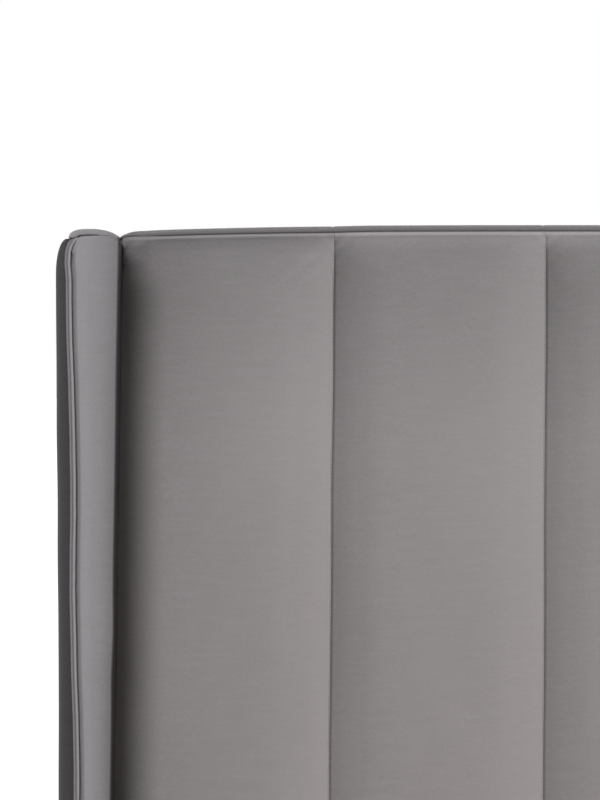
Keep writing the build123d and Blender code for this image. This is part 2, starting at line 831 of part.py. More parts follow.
def top_plate():
    """The folded plate under and beside the platform's side tube that both arms pivot on."""
    middle = (main_pin[0] + second_pin[0]) / 2
    y0 = middle - top_plate_length / 2
    y1 = middle + top_plate_length / 2
    high = platform_top + top_plate_thickness
    circles = [circle_at(p, top_plate_margin) for p in (main_pin, second_pin)]
    corners = [circle_at((y, high - plate_thickness), plate_thickness) for y in (y0 + plate_thickness,
                                                                                y1 - plate_thickness)]
    web = side_plate(hull_of(circles + corners), top_plate_x, top_plate_x + top_plate_thickness)
    flange = block(platform_half - top_plate_flange, top_plate_x + top_plate_thickness, y0, y1,
                   platform_top, high)
    plate = web + flange
    for point in (main_pin, second_pin):
        plate -= x_prism(*point, pivot_radius, top_plate_x - overrun, top_plate_x + overrun)
    for y in flange_bolt_places:
        plate -= z_prism(flange_bolt_x, y, bolt_radius + bolt_fit, platform_top - overrun, high + overrun,
                         bolt_sides)
    return plate


def base_pins():
    """Rivets for the two arms and the studs for the struts, all held in the base plates."""
    collar_x = base_plate_x - plane_gap + pivot_fit
    main = x_prism(*main_pivot, pivot_radius, main_arm_x - pivot_head, rail_inner_half)
    main += x_prism(*main_pivot, pivot_head_radius, main_arm_x - pivot_head, main_arm_x - pivot_fit)
    main += x_prism(*main_pivot, pivot_head_radius, collar_x, base_plate_x)
    spacer_x = second_arm_x + plate_thickness + pivot_fit
    second = x_prism(*second_pivot, pivot_radius, second_arm_x - pivot_head, rail_inner_half)
    second += x_prism(*second_pivot, pivot_head_radius, second_arm_x - pivot_head, second_arm_x - pivot_fit)
    second += x_prism(*second_pivot, collar_radius, spacer_x, base_plate_x)
    eye_outer = strut_x + strut_eye_width / 2 + soft_gap
    eye_inner = strut_x - strut_eye_width / 2
    stud = x_prism(*strut_foot, pivot_radius, base_plate_x, rail_inner_half)
    stud += x_prism(*strut_foot, collar_radius, eye_outer, base_plate_x)
    stud += x_prism(*strut_foot, strut_pin_radius, eye_inner - 2 * clip_thickness, eye_outer)
    solids = [main, second, stud, e_clip(strut_foot)]
    return Compound(children=[copy for pin in solids for copy in (pin, mirror(pin, about=Plane.YZ))])


def platform_fasteners():
    """The rivets held in the top plates, the flange bolts and the strap's screws."""
    outer = main_arm_x + plate_thickness
    main = x_prism(*main_pin, pivot_radius, top_plate_x, outer + pivot_head)
    main += x_prism(*main_pin, pivot_head_radius, outer + pivot_fit, outer + pivot_head)
    second = x_prism(*second_pin, pivot_radius, second_arm_x - pivot_head, top_plate_x + top_plate_thickness)
    second += x_prism(*second_pin, loose_head_radius, second_arm_x - pivot_head, second_arm_x - pivot_fit)
    solids = [main, second]
    for y in flange_bolt_places:
        high = platform_top + top_plate_thickness
        bolt = z_prism(flange_bolt_x, y, bolt_radius, platform_low - bolt_head, high, bolt_sides)
        bolt += hexagon_head(flange_bolt_x, y, high)
        bolt += hexagon_head(flange_bolt_x, y, platform_low - bolt_head)
        solids.append(bolt)
    pairs = [copy for solid in solids for copy in (solid, mirror(solid, about=Plane.YZ))]
    seat = platform_foot_y - 2 * strap_thickness
    pairs += [y_bolt(0, z, seat, 1, 2 * strap_thickness + tube_wall) for z in strap_bolt_heights]
    return Compound(children=pairs)


def along_strut(shape):
    """Place a shape drawn on +Z, with its eye at the origin, along the strut at rest."""
    angle = degrees(atan2(strut_stud[0] - strut_foot[0], strut_stud[1] - strut_foot[1]))
    return Pos(strut_x, *strut_foot) * Rot(-angle, 0, 0) * shape


def strut_eye(z):
    """The flat eye at a strut's end, bored across, at a height on the strut's own axis."""
    body = Pos(0, 0, z) * Rot(0, 90, 0) * Cylinder(strut_eye_radius, strut_eye_width)
    return body


def eye_bore(z):
    return Pos(0, 0, z) * Rot(0, 90, 0) * Cylinder(strut_pin_radius + pivot_fit, strut_eye_width + overrun)


def strut_cylinder():
    """The pressure tube: a closed foot with an eye, a bore and a guide for the rod."""
    start = strut_eye_radius + clip_radius
    end = strut_closed - rod_stub
    body = z_rod(0, 0, cylinder_radius, start, end)
    body += z_rod(0, 0, rod_radius, 0, start)
    body += strut_eye(0)
    body -= z_prism(0, 0, cylinder_bore, start + cylinder_wall / 2, end - cylinder_guide)
    body -= z_rod(0, 0, rod_radius + rod_fit, end - cylinder_guide - overrun / 2, end + overrun)
    return along_strut(body - eye_bore(0))


def strut_rod():
    """The polished rod with its piston, closed into the cylinder at rest."""
    rod = z_rod(0, 0, rod_radius, piston_start, strut_closed)
    rod += z_prism(0, 0, cylinder_bore - piston_fit, piston_start, piston_start + piston_length)
    rod += strut_eye(strut_closed)
    return along_strut(rod - eye_bore(strut_closed))


# Places worked out from the sizes above
border_front_y = ply_front_y - channel_top_depth + soft_gap
boxing_front_y = wing_front_y + 2 * (piping_radius + soft_gap) + soft_gap
roll_shares = (0.3, 0.6, 0.85, 1)
outer_pad_top_share = 0.3
arm_window_share = 0.7
border_fall_shares = {0: 0, 0.47: 0.02, 0.92: 0.45, 0.977: 0.69, 1: 1}

floor_length = ply_front_y - foot_inner_y
floor_joints = [foot_inner_y + floor_length * i / floor_panel_count for i in range(1, floor_panel_count)]
rail_foot_shares = (0.03, 0.45, 0.95)
rail_foot_places = [foot_inner_y + share * (wing_front_y - foot_inner_y) for share in rail_foot_shares]

head_tube_y = head_y - tube_size / 2
foot_tube_y = platform_foot_y + tube_size / 2
cross_tube_places = [head_y - reach for reach in cross_tube_reaches]
rest_y = cross_tube_places[1]
slat_low = tube_size - slat_seat

main_pivot = (head_y - main_pivot_reach, platform_top - main_pivot_drop)
second_pivot = (head_y - second_pivot_reach, platform_top - second_pivot_drop)
main_pin = (head_y - main_pin_reach, platform_top - main_pin_drop)
second_pin = (head_y - second_pin_reach, platform_top - second_pin_drop)
strut_drop = main_pivot[1] - floor_top - base_plate_margin - strut_floor_gap
strut_circle = strut_drop / -sin(radians(strut_axis_angle + strut_half_angle))


def on_strut_circle(angle):
    """A point on the circle about the main pivot that holds both ends of the strut at rest."""
    a = radians(angle)
    return (main_pivot[0] - strut_circle * cos(a), main_pivot[1] + strut_circle * sin(a))


strut_stud = on_strut_circle(strut_axis_angle - strut_half_angle)
strut_foot = on_strut_circle(strut_axis_angle + strut_half_angle)
strut_closed = hypot(strut_stud[0] - strut_foot[0], strut_stud[1] - strut_foot[1])


def between(p, q, share):
    return (p[0] + share * (q[0] - p[0]), p[1] + share * (q[1] - p[1]))


base_plate_bolts = [between(main_pivot, second_pivot, bolt_inset_share),
                    between(main_pivot, second_pivot, 1 - bolt_inset_share),
                    between(strut_foot, second_pivot, bolt_inset_share),
                    between(strut_foot, second_pivot, 1 - 2 * bolt_inset_share)]
flange_middle = (main_pin[0] + second_pin[0]) / 2
flange_bolt_places = [flange_middle - top_plate_length / 3, flange_middle + top_plate_length / 3]
flange_bolt_x = platform_half - tube_size / 2

hook_bolt_heights = [hook_low + share * (hook_high - hook_low)
                     for share in (bolt_inset_share, 1 - bolt_inset_share)]
hook_bolts = [(core_front_y - hook_leg / 2, z) for z in hook_bolt_heights]
hook_screw_x = (core_inner(ground_clearance) + wing_seam(ground_clearance)) / 2
wing_bolt_heights = [mid_rail_height / 2, (mid_rail_height + frame_top) / 2,
                     frame_top - 2 * frame_rail_height]
wing_bolt_y = (frame_front_y + frame_back_y) / 2
foot_bracket_heights = [bracket_low + share * (bracket_high - bracket_low)
                        for share in (bolt_inset_share, 1 - bolt_inset_share)]
foot_bolt_y = foot_inner_y + bracket_leg / 2
foot_bolt_x = rail_inner_half - bracket_leg / 2
rest_low = platform_low - rest_bracket_drop / 2 - rest_pad_thickness
rest_bolts = [(rest_y + side * rest_bracket_width / 4, rest_low) for side in (-1, 1)]
strap_bolt_heights = [platform_low + tube_size / 2]


def add_pair(name, shape):
    """Store a right-hand piece and its mirror image as two nodes."""
    parts[name + "_right"] = shape
    parts[name + "_left"] = mirror(shape, about=Plane.YZ)


parts["head_frame"] = head_frame()
parts["head_front_panel"] = front_ply()
parts["head_back_cover"] = back_cover()
parts["head_top_border"] = top_border()
for number in range(channel_count):
    parts[f"head_channel_{number + 1}"] = channel(number)
add_pair("wing_core", wing_core())
add_pair("wing_edge_pad", wing_edge_pad())
add_pair("wing_inner_pad", wing_inner_pad())
add_pair("wing_outer_pad", wing_outer_pad())
add_pair("wing_piping", wing_piping())

add_pair("side_rail", side_rail())
add_pair("side_rail_cover", side_rail_cover())
parts["foot_rail"] = foot_rail()
parts["foot_rail_cover"] = foot_rail_cover()
parts["foot_ledge"] = foot_ledge()
parts["floor_battens"] = floor_battens()
parts["storage_floor"] = storage_floor()
parts["feet"] = feet()
parts["foot_brackets"] = both_sides(foot_bracket())
parts["rail_hooks"] = both_sides(rail_hook())
add_pair("rest_bracket", rest_bracket())
parts["frame_bolts"] = frame_bolts()

add_pair("lift_base_plate", base_plate())
parts["lift_base_pins"] = base_pins()
add_pair("lift_main_arm", main_arm())
add_pair("lift_second_arm", second_arm())
add_pair("lift_top_plate", top_plate())
add_pair("strut_cylinder", strut_cylinder())
add_pair("strut_rod", strut_rod())

add_pair("platform_side_tube", side_tube())
parts["platform_head_tube"] = cross_tube(head_tube_y)
parts["platform_foot_tube"] = foot_tube()
parts["platform_cross_tubes"] = Compound(children=[cross_tube(y) for y in cross_tube_places])
parts["platform_centre_tube"] = centre_tube()
slat_row = Compound(children=[slat(y) for y in slat_places()])
add_pair("slat_row", slat_row)
parts["slat_caps"] = slat_caps()
add_pair("mattress_hoop", mattress_hoop())
parts["pull_strap"] = pull_strap()
parts["platform_fasteners"] = platform_fasteners()

os.makedirs("parts", exist_ok=True)
for name, shape in parts.items():
    export_step(shape, f"parts/{name}.step")
print(len(parts), "nodes; strut closed length", round(strut_closed, 1))
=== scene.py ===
"""Looks of a winged, channelled ottoman bed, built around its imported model."""
import bisect
import math
import random

import bpy
from mathutils import Matrix, Vector, noise
from mathutils.kdtree import KDTree


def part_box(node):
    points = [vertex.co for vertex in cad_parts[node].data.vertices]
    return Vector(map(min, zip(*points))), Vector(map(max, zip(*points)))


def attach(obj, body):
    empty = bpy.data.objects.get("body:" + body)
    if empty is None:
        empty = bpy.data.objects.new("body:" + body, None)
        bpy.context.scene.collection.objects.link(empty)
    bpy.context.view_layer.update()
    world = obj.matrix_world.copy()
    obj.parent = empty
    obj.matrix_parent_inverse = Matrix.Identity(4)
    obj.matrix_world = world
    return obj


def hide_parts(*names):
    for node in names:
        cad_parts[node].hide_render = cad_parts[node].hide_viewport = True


bl_info = {
    "name": "Ottoman bed looks",
    "version": (1, 0, 0),
    "blender": (4, 5, 0),
    "location": "View3D > Sidebar > Bed",
    "description": "Upholstery, finishes, light and camera of an ottoman bed",
    "category": "Object",
}

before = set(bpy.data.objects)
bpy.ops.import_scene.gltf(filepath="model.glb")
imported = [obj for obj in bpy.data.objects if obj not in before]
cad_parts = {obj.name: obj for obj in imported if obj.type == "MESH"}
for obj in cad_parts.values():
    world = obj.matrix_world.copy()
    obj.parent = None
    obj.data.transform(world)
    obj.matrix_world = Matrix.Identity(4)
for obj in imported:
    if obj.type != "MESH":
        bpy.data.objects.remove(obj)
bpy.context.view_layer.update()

# Places read from the frame, in metres
FRAME_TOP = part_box("head_frame")[1].z
PLY_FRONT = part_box("head_front_panel")[0].y
WING_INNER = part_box("wing_inner_pad_right")[0].x
low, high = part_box("head_back_cover")
FRAME_BACK, BACK = low.y, high.y
low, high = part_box("head_channel_3")
CROWN, CHANNEL_LOW = low.y, low.z
low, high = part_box("head_top_border")
BORDER_FRONT, HEAD_TOP = low.y, high.z
low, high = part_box("wing_core_right")
CORE_FRONT, WING_SEAM = low.y, high.x
low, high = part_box("wing_edge_pad_right")
WING_FRONT, BAND_LOW, WING_TOP = low.y, low.z, high.z
low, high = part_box("wing_outer_pad_right")
PAD_FRONT, PAD_LOW, PAD_OUTER = low.y, low.z, high.x
low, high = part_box("side_rail_right")
RAIL_INNER, RAIL_CORE_OUTER, RAIL_CORE_TOP = low.x, high.x, high.z
low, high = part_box("side_rail_cover_right")
COVER_LOW, COVER_END, RAIL_OUTER, RAIL_TOP = low.z, high.y, high.x, high.z
low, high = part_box("foot_rail")
FOOT_CORE, FOOT_INNER = low.y, high.y
STRAP_LOW, STRAP_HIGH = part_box("pull_strap")

# Sizes and places that several pieces share, in metres
SIDES = (("right", 1), ("left", -1))
CHANNELS = 5
GAP = 0.0003  # between a soft piece and what it lies on
CLOSE = 0.00005  # the same where daylight would show through
BOW_SHARE = 0.57  # of the top edge's fall towards the wings, the part in its long bow
BORDER_HALF = WING_INNER + 0.0055
CAP_INNER = WING_INNER - 0.0008
CAP_OUTER = WING_SEAM + 0.0022
CAP_CREST = WING_SEAM - 0.0272
BAND_TOP = WING_TOP - 0.0088
STRAP_THICK = 0.0023
TAIL_PLACE = STRAP_LOW.y + 0.005
STAPLE = (0.0105, 0.0007, 0.0012)
STITCH = (0.00032, 0.00032, 0.00150)

# The bag of cloth that blows up a padded piece, and how coarse its rows and columns are
BAG_CLOTH = {
    "quality": 5, "mass": 0.3, "tension_stiffness": 30, "compression_stiffness": 30, "shear_stiffness": 20,
    "bending_stiffness": 1.5, "use_pressure": True, "uniform_pressure_force": 4, "vertex_group_mass": "sewn",
}
BAG_FRAMES = 20
BAG_ROWS, BAG_COLUMNS = 3, 2

# Each lamp's azimuth and elevation, strength, width in degrees and colour, and the sky's and floor's glow
LAMPS = (("key", (-13.5, 25.5), 2.42, 20, (1.0, 0.995, 0.99)),
         ("back_light", (172, 5), 1.3, 40, (0.99, 0.995, 1.0)))
SKY_LIGHT = 0.38
FLOOR_GLOW = 0.42


def size(name, description, default, unit="LENGTH"):
    return bpy.props.FloatProperty(name=name, description=description, default=default, unit=unit)


def tint(name, description, *default):
    return bpy.props.FloatVectorProperty(name=name, description=description, default=default, subtype="COLOR")


class BedShape(bpy.types.PropertyGroup):
    """Sizes of the upholstery that show."""
    taper_base: size("Taper base", "Height where the wings start to lean", 0.48)
    inner_lean: size("Inner lean", "Lean of the wings' inner edges", 0.0156, "NONE")
    seam_lean: size("Seam lean", "Lean of the wings' outer seams", 0.0104, "NONE")
    seam_rise: size("Seam rise", "How far a channel rises beside its seams", 0.0099)
    seam_reach: size("Seam reach", "How far from a seam its pull dies away", 0.023)
    seam_tuck: size("Seam tuck", "Depth of the fold at a channel's seam", 0.0005)
    channel_arc: size("Channel arc", "Rise of a channel's arc from seam to seam", 0.0055)
    end_drop: size("End drop", "How far the top edge falls where it meets a wing", 0.0127)
    border_seam: size("Border seam", "Drop from the top edge to the border's seam", 0.0083)
    band_crown: size("Band crown", "Crown of a wing's front band", 0.0048)
    welt_radius: size("Welt radius", "Radius of the welt beside a wing's front band", 0.0025)
    welt_wander: size("Welt wander", "How far the hand-sewn welt wanders to either side", 0.0013)
    stitch_pitch: size("Stitch pitch", "Distance from stitch to stitch", 0.0042)


class BedColours(bpy.types.PropertyGroup):
    """Colours of the finishes."""
    velvet: tint("Velvet", "Plush velvet of the panels", 0.272, 0.256, 0.262)
    # Painted shade: a cooler tint of the velvet, darkened for the wings' front bands and welts
    velvet_wing_front_shade: tint("Cool velvet", "Velvet of the bands and welts, darkened as painted shade", 0.240, 0.231, 0.243)
    thread: tint("Thread", "Sewing thread", 0.20, 0.19, 0.195)
    pine: tint("Pine", "Planed pine", 0.66, 0.47, 0.28)
    board: tint("Board", "Raw particle board", 0.50, 0.39, 0.27)
    beech: tint("Beech", "Lacquered beech ply", 0.62, 0.42, 0.24)
    laminate: tint("Laminate", "Dark laminate of the storage floor", 0.085, 0.083, 0.088)
    coat: tint("Powder coat", "Dark powder coat of the steel", 0.04, 0.04, 0.044)


# Values along a piece
def shape():
    return bpy.context.scene.bed_shape


def spread(start, end, count):
    """Evenly spaced values, both ends included."""
    return [start + (end - start) * i / (count - 1) for i in range(count)]


def eased(count):
    """Values from 0 to 1 that lie closer together at both ends."""
    return [(1 - math.cos(math.pi * i / (count - 1))) / 2 for i in range(count)]


def crowded(top, reach, start):
    """Heights over the last reach below a rounded top, closer together near it."""
    return [top - reach * (1 - math.sin(math.pi / 2 * t)) for t in spread(start, 1, 34)]


def arc(start, end, count):
    """Cosine and sine of evenly spaced angles, given in degrees."""
    return [(math.cos(a), math.sin(a)) for a in map(math.radians, spread(start, end, count))]


def quarter(t):
    """The rise of a quarter circle, from 0 to 1, at a share of its radius."""
    t = min(max(t, 0.0), 1.0)
    return math.sqrt(1 - (1 - t) ** 2)


def fold(distance, radius):
    """1 at an edge, and 0 from a radius away, along a quarter circle."""
    return 1 - quarter(distance / radius)


def smooth(t):
    """A share eased at both ends."""
    t = min(max(t, 0.0), 1.0)
    return t * t * (3 - 2 * t)


def bell(offset, width):
    """1 in the middle, dying away to both sides."""
    return math.exp(-(offset / width) ** 2)


def waver(place, seed, reach, height):
    """A smooth, repeatable wander of a given height along a piece, with bumps a given reach apart."""
    return height * noise.noise(Vector((place / reach, seed * 7.31, seed * 3.17)))


def rumple(x, y, z, reach, height, seed=0.0):
    """A smooth, repeatable rise or fall of cloth at a place."""
    return height * noise.noise(Vector((x / reach + seed, y / reach, z / reach)))


# Lines that neighbouring pieces share
def wing_inner(z):
    return WING_INNER + shape().inner_lean * (FRAME_TOP - max(z, shape().taper_base))


def wing_seam(z):
    return WING_SEAM - shape().seam_lean * (FRAME_TOP - max(z, shape().taper_base))


def welt_line_x(z):
    """The line, up a wing, that its welt was sewn along."""
    bulge = 0.0017 * bell(z - 1.172, 0.014)
    return wing_seam(z) - 0.0004 + bulge + shape().welt_wander * math.cos(2 * math.pi * (z - 1.12) / 0.40)


def welt_sway(z, side):
    return waver(z, 3.0 + side, 0.055, 0.0007)


def channel_edge(index, z):
    return (2 * index / CHANNELS - 1) * wing_inner(z)


def seam_sway(z, index):
    return waver(z, index, 0.12, 0.0009)


def border_top(x):
    """Height of the headboard's top edge across its width."""
    s = abs(x) / WING_INNER
    slack = 0.0009 * smooth((s - 0.52) / 0.10) * smooth((0.985 - s) / 0.03)
    return HEAD_TOP - shape().end_drop * (BOW_SHARE * s ** 4 + (1 - BOW_SHARE) * s ** 60) - slack


def border_low(x):
    """Height of the border's seam, which climbs to the top edge where it meets a wing."""
    narrowed = 0.65 * smooth((abs(x) / WING_INNER - 0.960) / 0.055)
    return border_top(x) - shape().border_seam * (1 - narrowed)


# Making and placing meshes
def mode(word):
    bpy.ops.object.mode_set(mode=word)


def deselect():
    if bpy.context.object and bpy.context.object.mode != "OBJECT":
        mode("OBJECT")
    bpy.ops.object.select_all(action="DESELECT")


def select(pieces):
    """Select pieces alone, and make the first one active."""
    deselect()
    for piece in pieces:
        piece.select_set(True)
    bpy.context.view_layer.objects.active = pieces[0]


def face_outwards():
    """Turn all faces of the mesh in edit mode outwards, and leave edit mode."""
    bpy.ops.mesh.select_all(action="SELECT")
    bpy.ops.mesh.normals_make_consistent(inside=False)
    mode("OBJECT")


def skin(name, rings, closed_ends=True):
    """A skin through rings of points: a grid is bent to them, joined along its side and closed at both
    ends."""
    deselect()
    bpy.ops.mesh.primitive_grid_add(x_subdivisions=len(rings[0]), y_subdivisions=len(rings) - 1, size=1)
    piece = bpy.context.object
    piece.name = name
    points = [c for ring in rings for point in (*ring, ring[0]) for c in point]
    if len(points) != 3 * len(piece.data.vertices):
        raise RuntimeError(f"{name}: {len(points) // 3} points for {len(piece.data.vertices)} vertices")
    piece.data.vertices.foreach_set("co", points)
    mode("EDIT")
    bpy.ops.mesh.select_all(action="SELECT")
    bpy.ops.mesh.remove_doubles(threshold=1e-6)
    if closed_ends:
        bpy.ops.mesh.select_all(action="DESELECT")
        bpy.ops.mesh.select_non_manifold(extend=False, use_wire=False, use_multi_face=False,
                                         use_non_contiguous=False, use_verts=False)
        bpy.ops.mesh.fill_holes(sides=0)
    face_outwards()
    bpy.ops.object.shade_smooth_by_angle(angle=math.radians(50))
    return piece


def puffed(name, rings, held, most):
    """Blow a coarse copy of a skin up as a cloth bag that is sewn down at its held points, and move the
    skin's own points as the bag's did, by less than a given length."""
    rows, columns = (sorted({*range(0, count, step), count - 1})
                     for count, step in ((len(rings), BAG_ROWS), (len(rings[0]), BAG_COLUMNS)))
    bag = skin(f"{name}_bag", [[rings[r][c] for c in columns] for r in rows])
    sewn = bag.vertex_groups.new(name="sewn")
    sewn.add([v.index for v in bag.data.vertices if held(*v.co)], 1.0, "REPLACE")
    cloth = bag.modifiers.new("cloth", "CLOTH")
    for key, value in BAG_CLOTH.items():
        setattr(cloth.settings, key, value)
    cloth.settings.effector_weights.gravity = 0
    cloth.collision_settings.use_collision = False
    cloth.point_cache.frame_start = 1
    cloth.point_cache.frame_end = BAG_FRAMES
    finder = KDTree(len(bag.data.vertices))
    for v in bag.data.vertices:
        finder.insert(v.co, v.index)
    finder.balance()
    for step in range(1, BAG_FRAMES + 1):
        bpy.context.scene.frame_set(step)
    blown = bag.evaluated_get(bpy.context.evaluated_depsgraph_get()).data
    moves = []
    for r in rows:
        moves.append([])
        for c in columns:
            place, index, _ = finder.find(rings[r][c])
            move = blown.vertices[index].co - place
            moves[-1].append(move * (most / (most + move.length)))
    bpy.data.objects.remove(bag)
    bpy.context.scene.frame_set(1)
    return [[tuple(Vector(point) + between(moves, rows, columns, r, c)) for c, point in enumerate(ring)]
            for r, ring in enumerate(rings)]


def between(moves, rows, columns, r, c):
    """The move at a row and a column, between the four nearest coarse points."""
    i = min(bisect.bisect_right(rows, r), len(rows) - 1) - 1
    j = min(bisect.bisect_right(columns, c), len(columns) - 1) - 1
    down = (r - rows[i]) / (rows[i + 1] - rows[i])
    along = (c - columns[j]) / (columns[j + 1] - columns[j])
    first = moves[i][j].lerp(moves[i][j + 1], along)
    return first.lerp(moves[i + 1][j].lerp(moves[i + 1][j + 1], along), down)


def tie(piece, body, nodes, finish):
    """Give a piece its finish in its one material slot, hide the model's parts that it stands for, and let it
    ride on its body.
    """
    piece.data.materials.clear()
    piece.data.materials.append(FINISHES[finish])
    if nodes:
        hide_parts(*nodes)
    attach(piece, body)


def joined(pieces, name):
    """Several meshes as one."""
    select(pieces)
    bpy.ops.object.join()
    whole = bpy.context.object
    whole.name = name
    return whole


def placed_copy(piece, place):
    """A copy of a mesh with its own data, its place in its vertices."""
    twin = piece.copy()
    twin.data = piece.data.copy()
    twin.data.transform(place)
    bpy.context.scene.collection.objects.link(twin)
    return twin


class Wire:
    """A wired value, on which Python's operators add Math nodes."""

    def __init__(self, nodes, socket):
        self.nodes, self.socket = nodes, socket

    def __add__(self, other):
        return self.nodes.math("ADD", self, other)

    def __mul__(self, other):
        return self.nodes.math("MULTIPLY", self, other)

    def __sub__(self, other):
        return self.nodes.math("SUBTRACT", self, other)

    def __rsub__(self, other):
        return self.nodes.math("SUBTRACT", other, self)

    __radd__ = __add__
    __rmul__ = __mul__


class Nodes:
    """A node tree in the making."""

    def __init__(self, tree):
        self.tree = tree

    def node(self, kind, settings=None, inputs=None, output=0):
        """Add a node, make its settings, wire or set its inputs, and hand back one output."""
        made = self.tree.nodes.new(kind)
        for key, value in (settings or {}).items():
            setattr(made, key, value)
        for key, value in (inputs or {}).items():
            self.feed(made.inputs[key], value)
        return Wire(self, made.outputs[output])

    def feed(self, socket, value):
        if isinstance(value, Wire):
            self.tree.links.new(value.socket, socket)
        elif hasattr(value, "__len__") and len(value) == 3 and socket.type == "RGBA":
            socket.default_value = (*value, 1)
        else:
            socket.default_value = value

    def math(self, operation, first, second):
        return self.node("ShaderNodeMath", {"operation": operation}, {0: first, 1: second})


class Finish(Nodes):
    """A material in the making: one Principled shader and the nodes that feed it."""

    def __init__(self, name):
        self.material = bpy.data.materials.new(name)
        self.material.use_nodes = True
        super().__init__(self.material.node_tree)
        self.shader = self.tree.nodes["Principled BSDF"]

    def done(self, **values):
        """Set or wire the shader's sockets, named with underscores for spaces, and hand back the material."""
        for key, value in values.items():
            self.feed(self.shader.inputs[key.replace("_", " ")], value)
        return self.material

    def place(self, stretch=(1, 1, 1)):
        """Object coordinates in metres, stretched."""
        coordinates = self.node("ShaderNodeTexCoord", output=3)
        return self.node("ShaderNodeMapping", {}, {"Vector": coordinates, "Scale": stretch})

    def axis(self, name):
        """One of the object coordinates, in metres."""
        coordinates = self.node("ShaderNodeTexCoord", output=3)
        return self.node("ShaderNodeSeparateXYZ", {}, {0: coordinates}, output="XYZ".index(name))

    def ease(self, value, start, end):
        """A share that goes smoothly from 0 to 1 while a value goes from start to end."""
        return self.node("ShaderNodeMapRange", {"interpolation_type": "SMOOTHSTEP"},
                         {"Value": value, "From Min": start, "From Max": end})

    def grain(self, scale, detail=2.0, stretch=(1, 1, 1), distortion=0.0):
        """Noise between 0 and 1, with so many bumps a metre."""
        return self.node("ShaderNodeTexNoise", {}, {"Vector": self.place(stretch), "Scale": scale,
                                                    "Detail": detail, "Distortion": distortion})

    def cells(self, scale, disorder):
        """Distance to the nearest of so many points a metre."""
        return self.node("ShaderNodeTexVoronoi", {}, {"Vector": self.place(), "Scale": scale,
                                                      "Randomness": disorder})

    def bands(self, direction, stretch=(1, 1, 1), **inputs):
        """Waves along one direction."""
        inputs = {key.replace("_", " "): value for key, value in inputs.items()}
        return self.node("ShaderNodeTexWave", {"wave_type": "BANDS", "bands_direction": direction},
                         {"Vector": self.place(stretch), **inputs}, output=1)

    def mix(self, factor, first, second, blend="MIX"):
        """Two colours mixed by a factor."""
        return self.node("ShaderNodeMix", {"data_type": "RGBA", "blend_type": blend},
                         {0: factor, 6: first, 7: second}, output=2)

    def toned(self, factor, colour, dark, light):
        """A colour between a darker and a lighter share of itself."""
        return self.mix(factor, lit(colour, dark), lit(colour, light))

    def bump(self, height, distance, strength, normal=None):
        inputs = {"Height": height, "Distance": distance, "Strength": strength}
        if normal:
            inputs["Normal"] = normal
        return self.node("ShaderNodeBump", {}, inputs)


def lit(colour, *shares):
    """A colour times one share, or times its own share of red, green and blue."""
    return tuple(c * share for c, share in zip(colour, shares * (3 // len(shares))))


def velvet(name, colour, painted_light_direction, painted_light_strength, painted_top_shade=0.0, sheen=0.16, most=1.0):
    """Cut-pile velvet, with brushed patches, faint streaks across and a fine pile. It has painted shade and
    highlight by
    facing: lighter where the cloth faces a given direction and darker where it faces away. With its top shade
    set, painted shade darkens it towards the headboard's top and its wings, with a painted highlight, shade
    and shadow near the top."""
    f = Finish(name)
    facing = f.node("ShaderNodeNewGeometry", output=1)
    lean = f.node("ShaderNodeVectorMath", {"operation": "DOT_PRODUCT"}, {0: facing, 1: painted_light_direction}, output=1)
    brushed = f.grain(4.5, 3.0, (1.0, 1.0, 0.5), 0.4)
    streaks = f.grain(120.0, 3.0, (0.22, 1.0, 1.6))
    mottle = f.grain(330.0, 3.0, (0.8, 1.0, 1.25))
    pile = f.grain(1700.0)
    # Painted shade and highlight by facing: lighter where the surface faces the given direction, darker where
    # it faces away
    level = 1 + f.math("MINIMUM", lean * painted_light_strength, most) + (brushed - 0.5) * 0.18 + (streaks - 0.5) * 0.10
    level = level + (mottle - 0.5) * 0.16 + (pile - 0.5) * 0.20
    if painted_top_shade:
        aside = f.math("POWER", f.math("ABSOLUTE", f.axis("X"), 0.0) * (1 / WING_INNER), 2.0)
        bow = BOW_SHARE * shape().end_drop * aside * aside
        fall = HEAD_TOP - shape().border_seam - bow - f.axis("Z")
        # Painted highlight along the channels' rolled top edge under the border, fading out beside the wings
        bead = f.ease(fall, 0.0065, 0.0025) * f.ease(aside, 1.0, 0.94) * 0.40
        # Painted shade below the top edge near the wings, and painted light there in the middle channels
        painted_under_border = f.ease(fall, 0.030, 0.006) * (0.12 - f.ease(aside, 0.25, 0.42) * 0.18)
        # Painted shadow of the wings on the panel's top corners beside them
        by_wing = f.ease(fall, 0.060, 0.030) * f.ease(fall, 0.008, 0.016) * f.ease(aside, 0.87, 0.95) * 0.16
        # Painted shade: darker towards the headboard's top and towards its wings
        level = level - (f.ease(fall, 0.29, 0.004) + 0.35 * aside) * painted_top_shade
        level = level + bead + painted_under_border - by_wing
    level = f.node("ShaderNodeClamp", {}, {"Value": level, "Min": 0.12, "Max": 1.6})
    patches = f.mix(f.grain(7.0, 2.0, (1.0, 1.0, 0.7)), lit(colour, 1.0, 0.985, 0.985),
                    lit(colour, 0.99, 1.015, 1.01))
    shade = f.node("ShaderNodeCombineXYZ", {}, {0: level, 1: level, 2: level})
    coarse = f.bump(mottle, 0.0005, 0.3)
    return f.done(Base_Color=f.mix(1.0, patches, shade, "MULTIPLY"), Roughness=0.78 + 0.16 * brushed,
                  Normal=f.bump(pile, 0.0004, 0.35, coarse), Sheen_Weight=sheen, Sheen_Roughness=0.45,
                  Sheen_Tint=(0.80, 0.77, 0.80, 1), Specular_IOR_Level=0.15)


def thread(colour):
    f = Finish("thread")
    twist = f.grain(2600.0, 1.0, (1, 1, 0.4))
    return f.done(Base_Color=f.toned(twist, colour, 0.7, 1.2), Roughness=0.75,
                  Normal=f.bump(twist, 0.0002, 0.4))


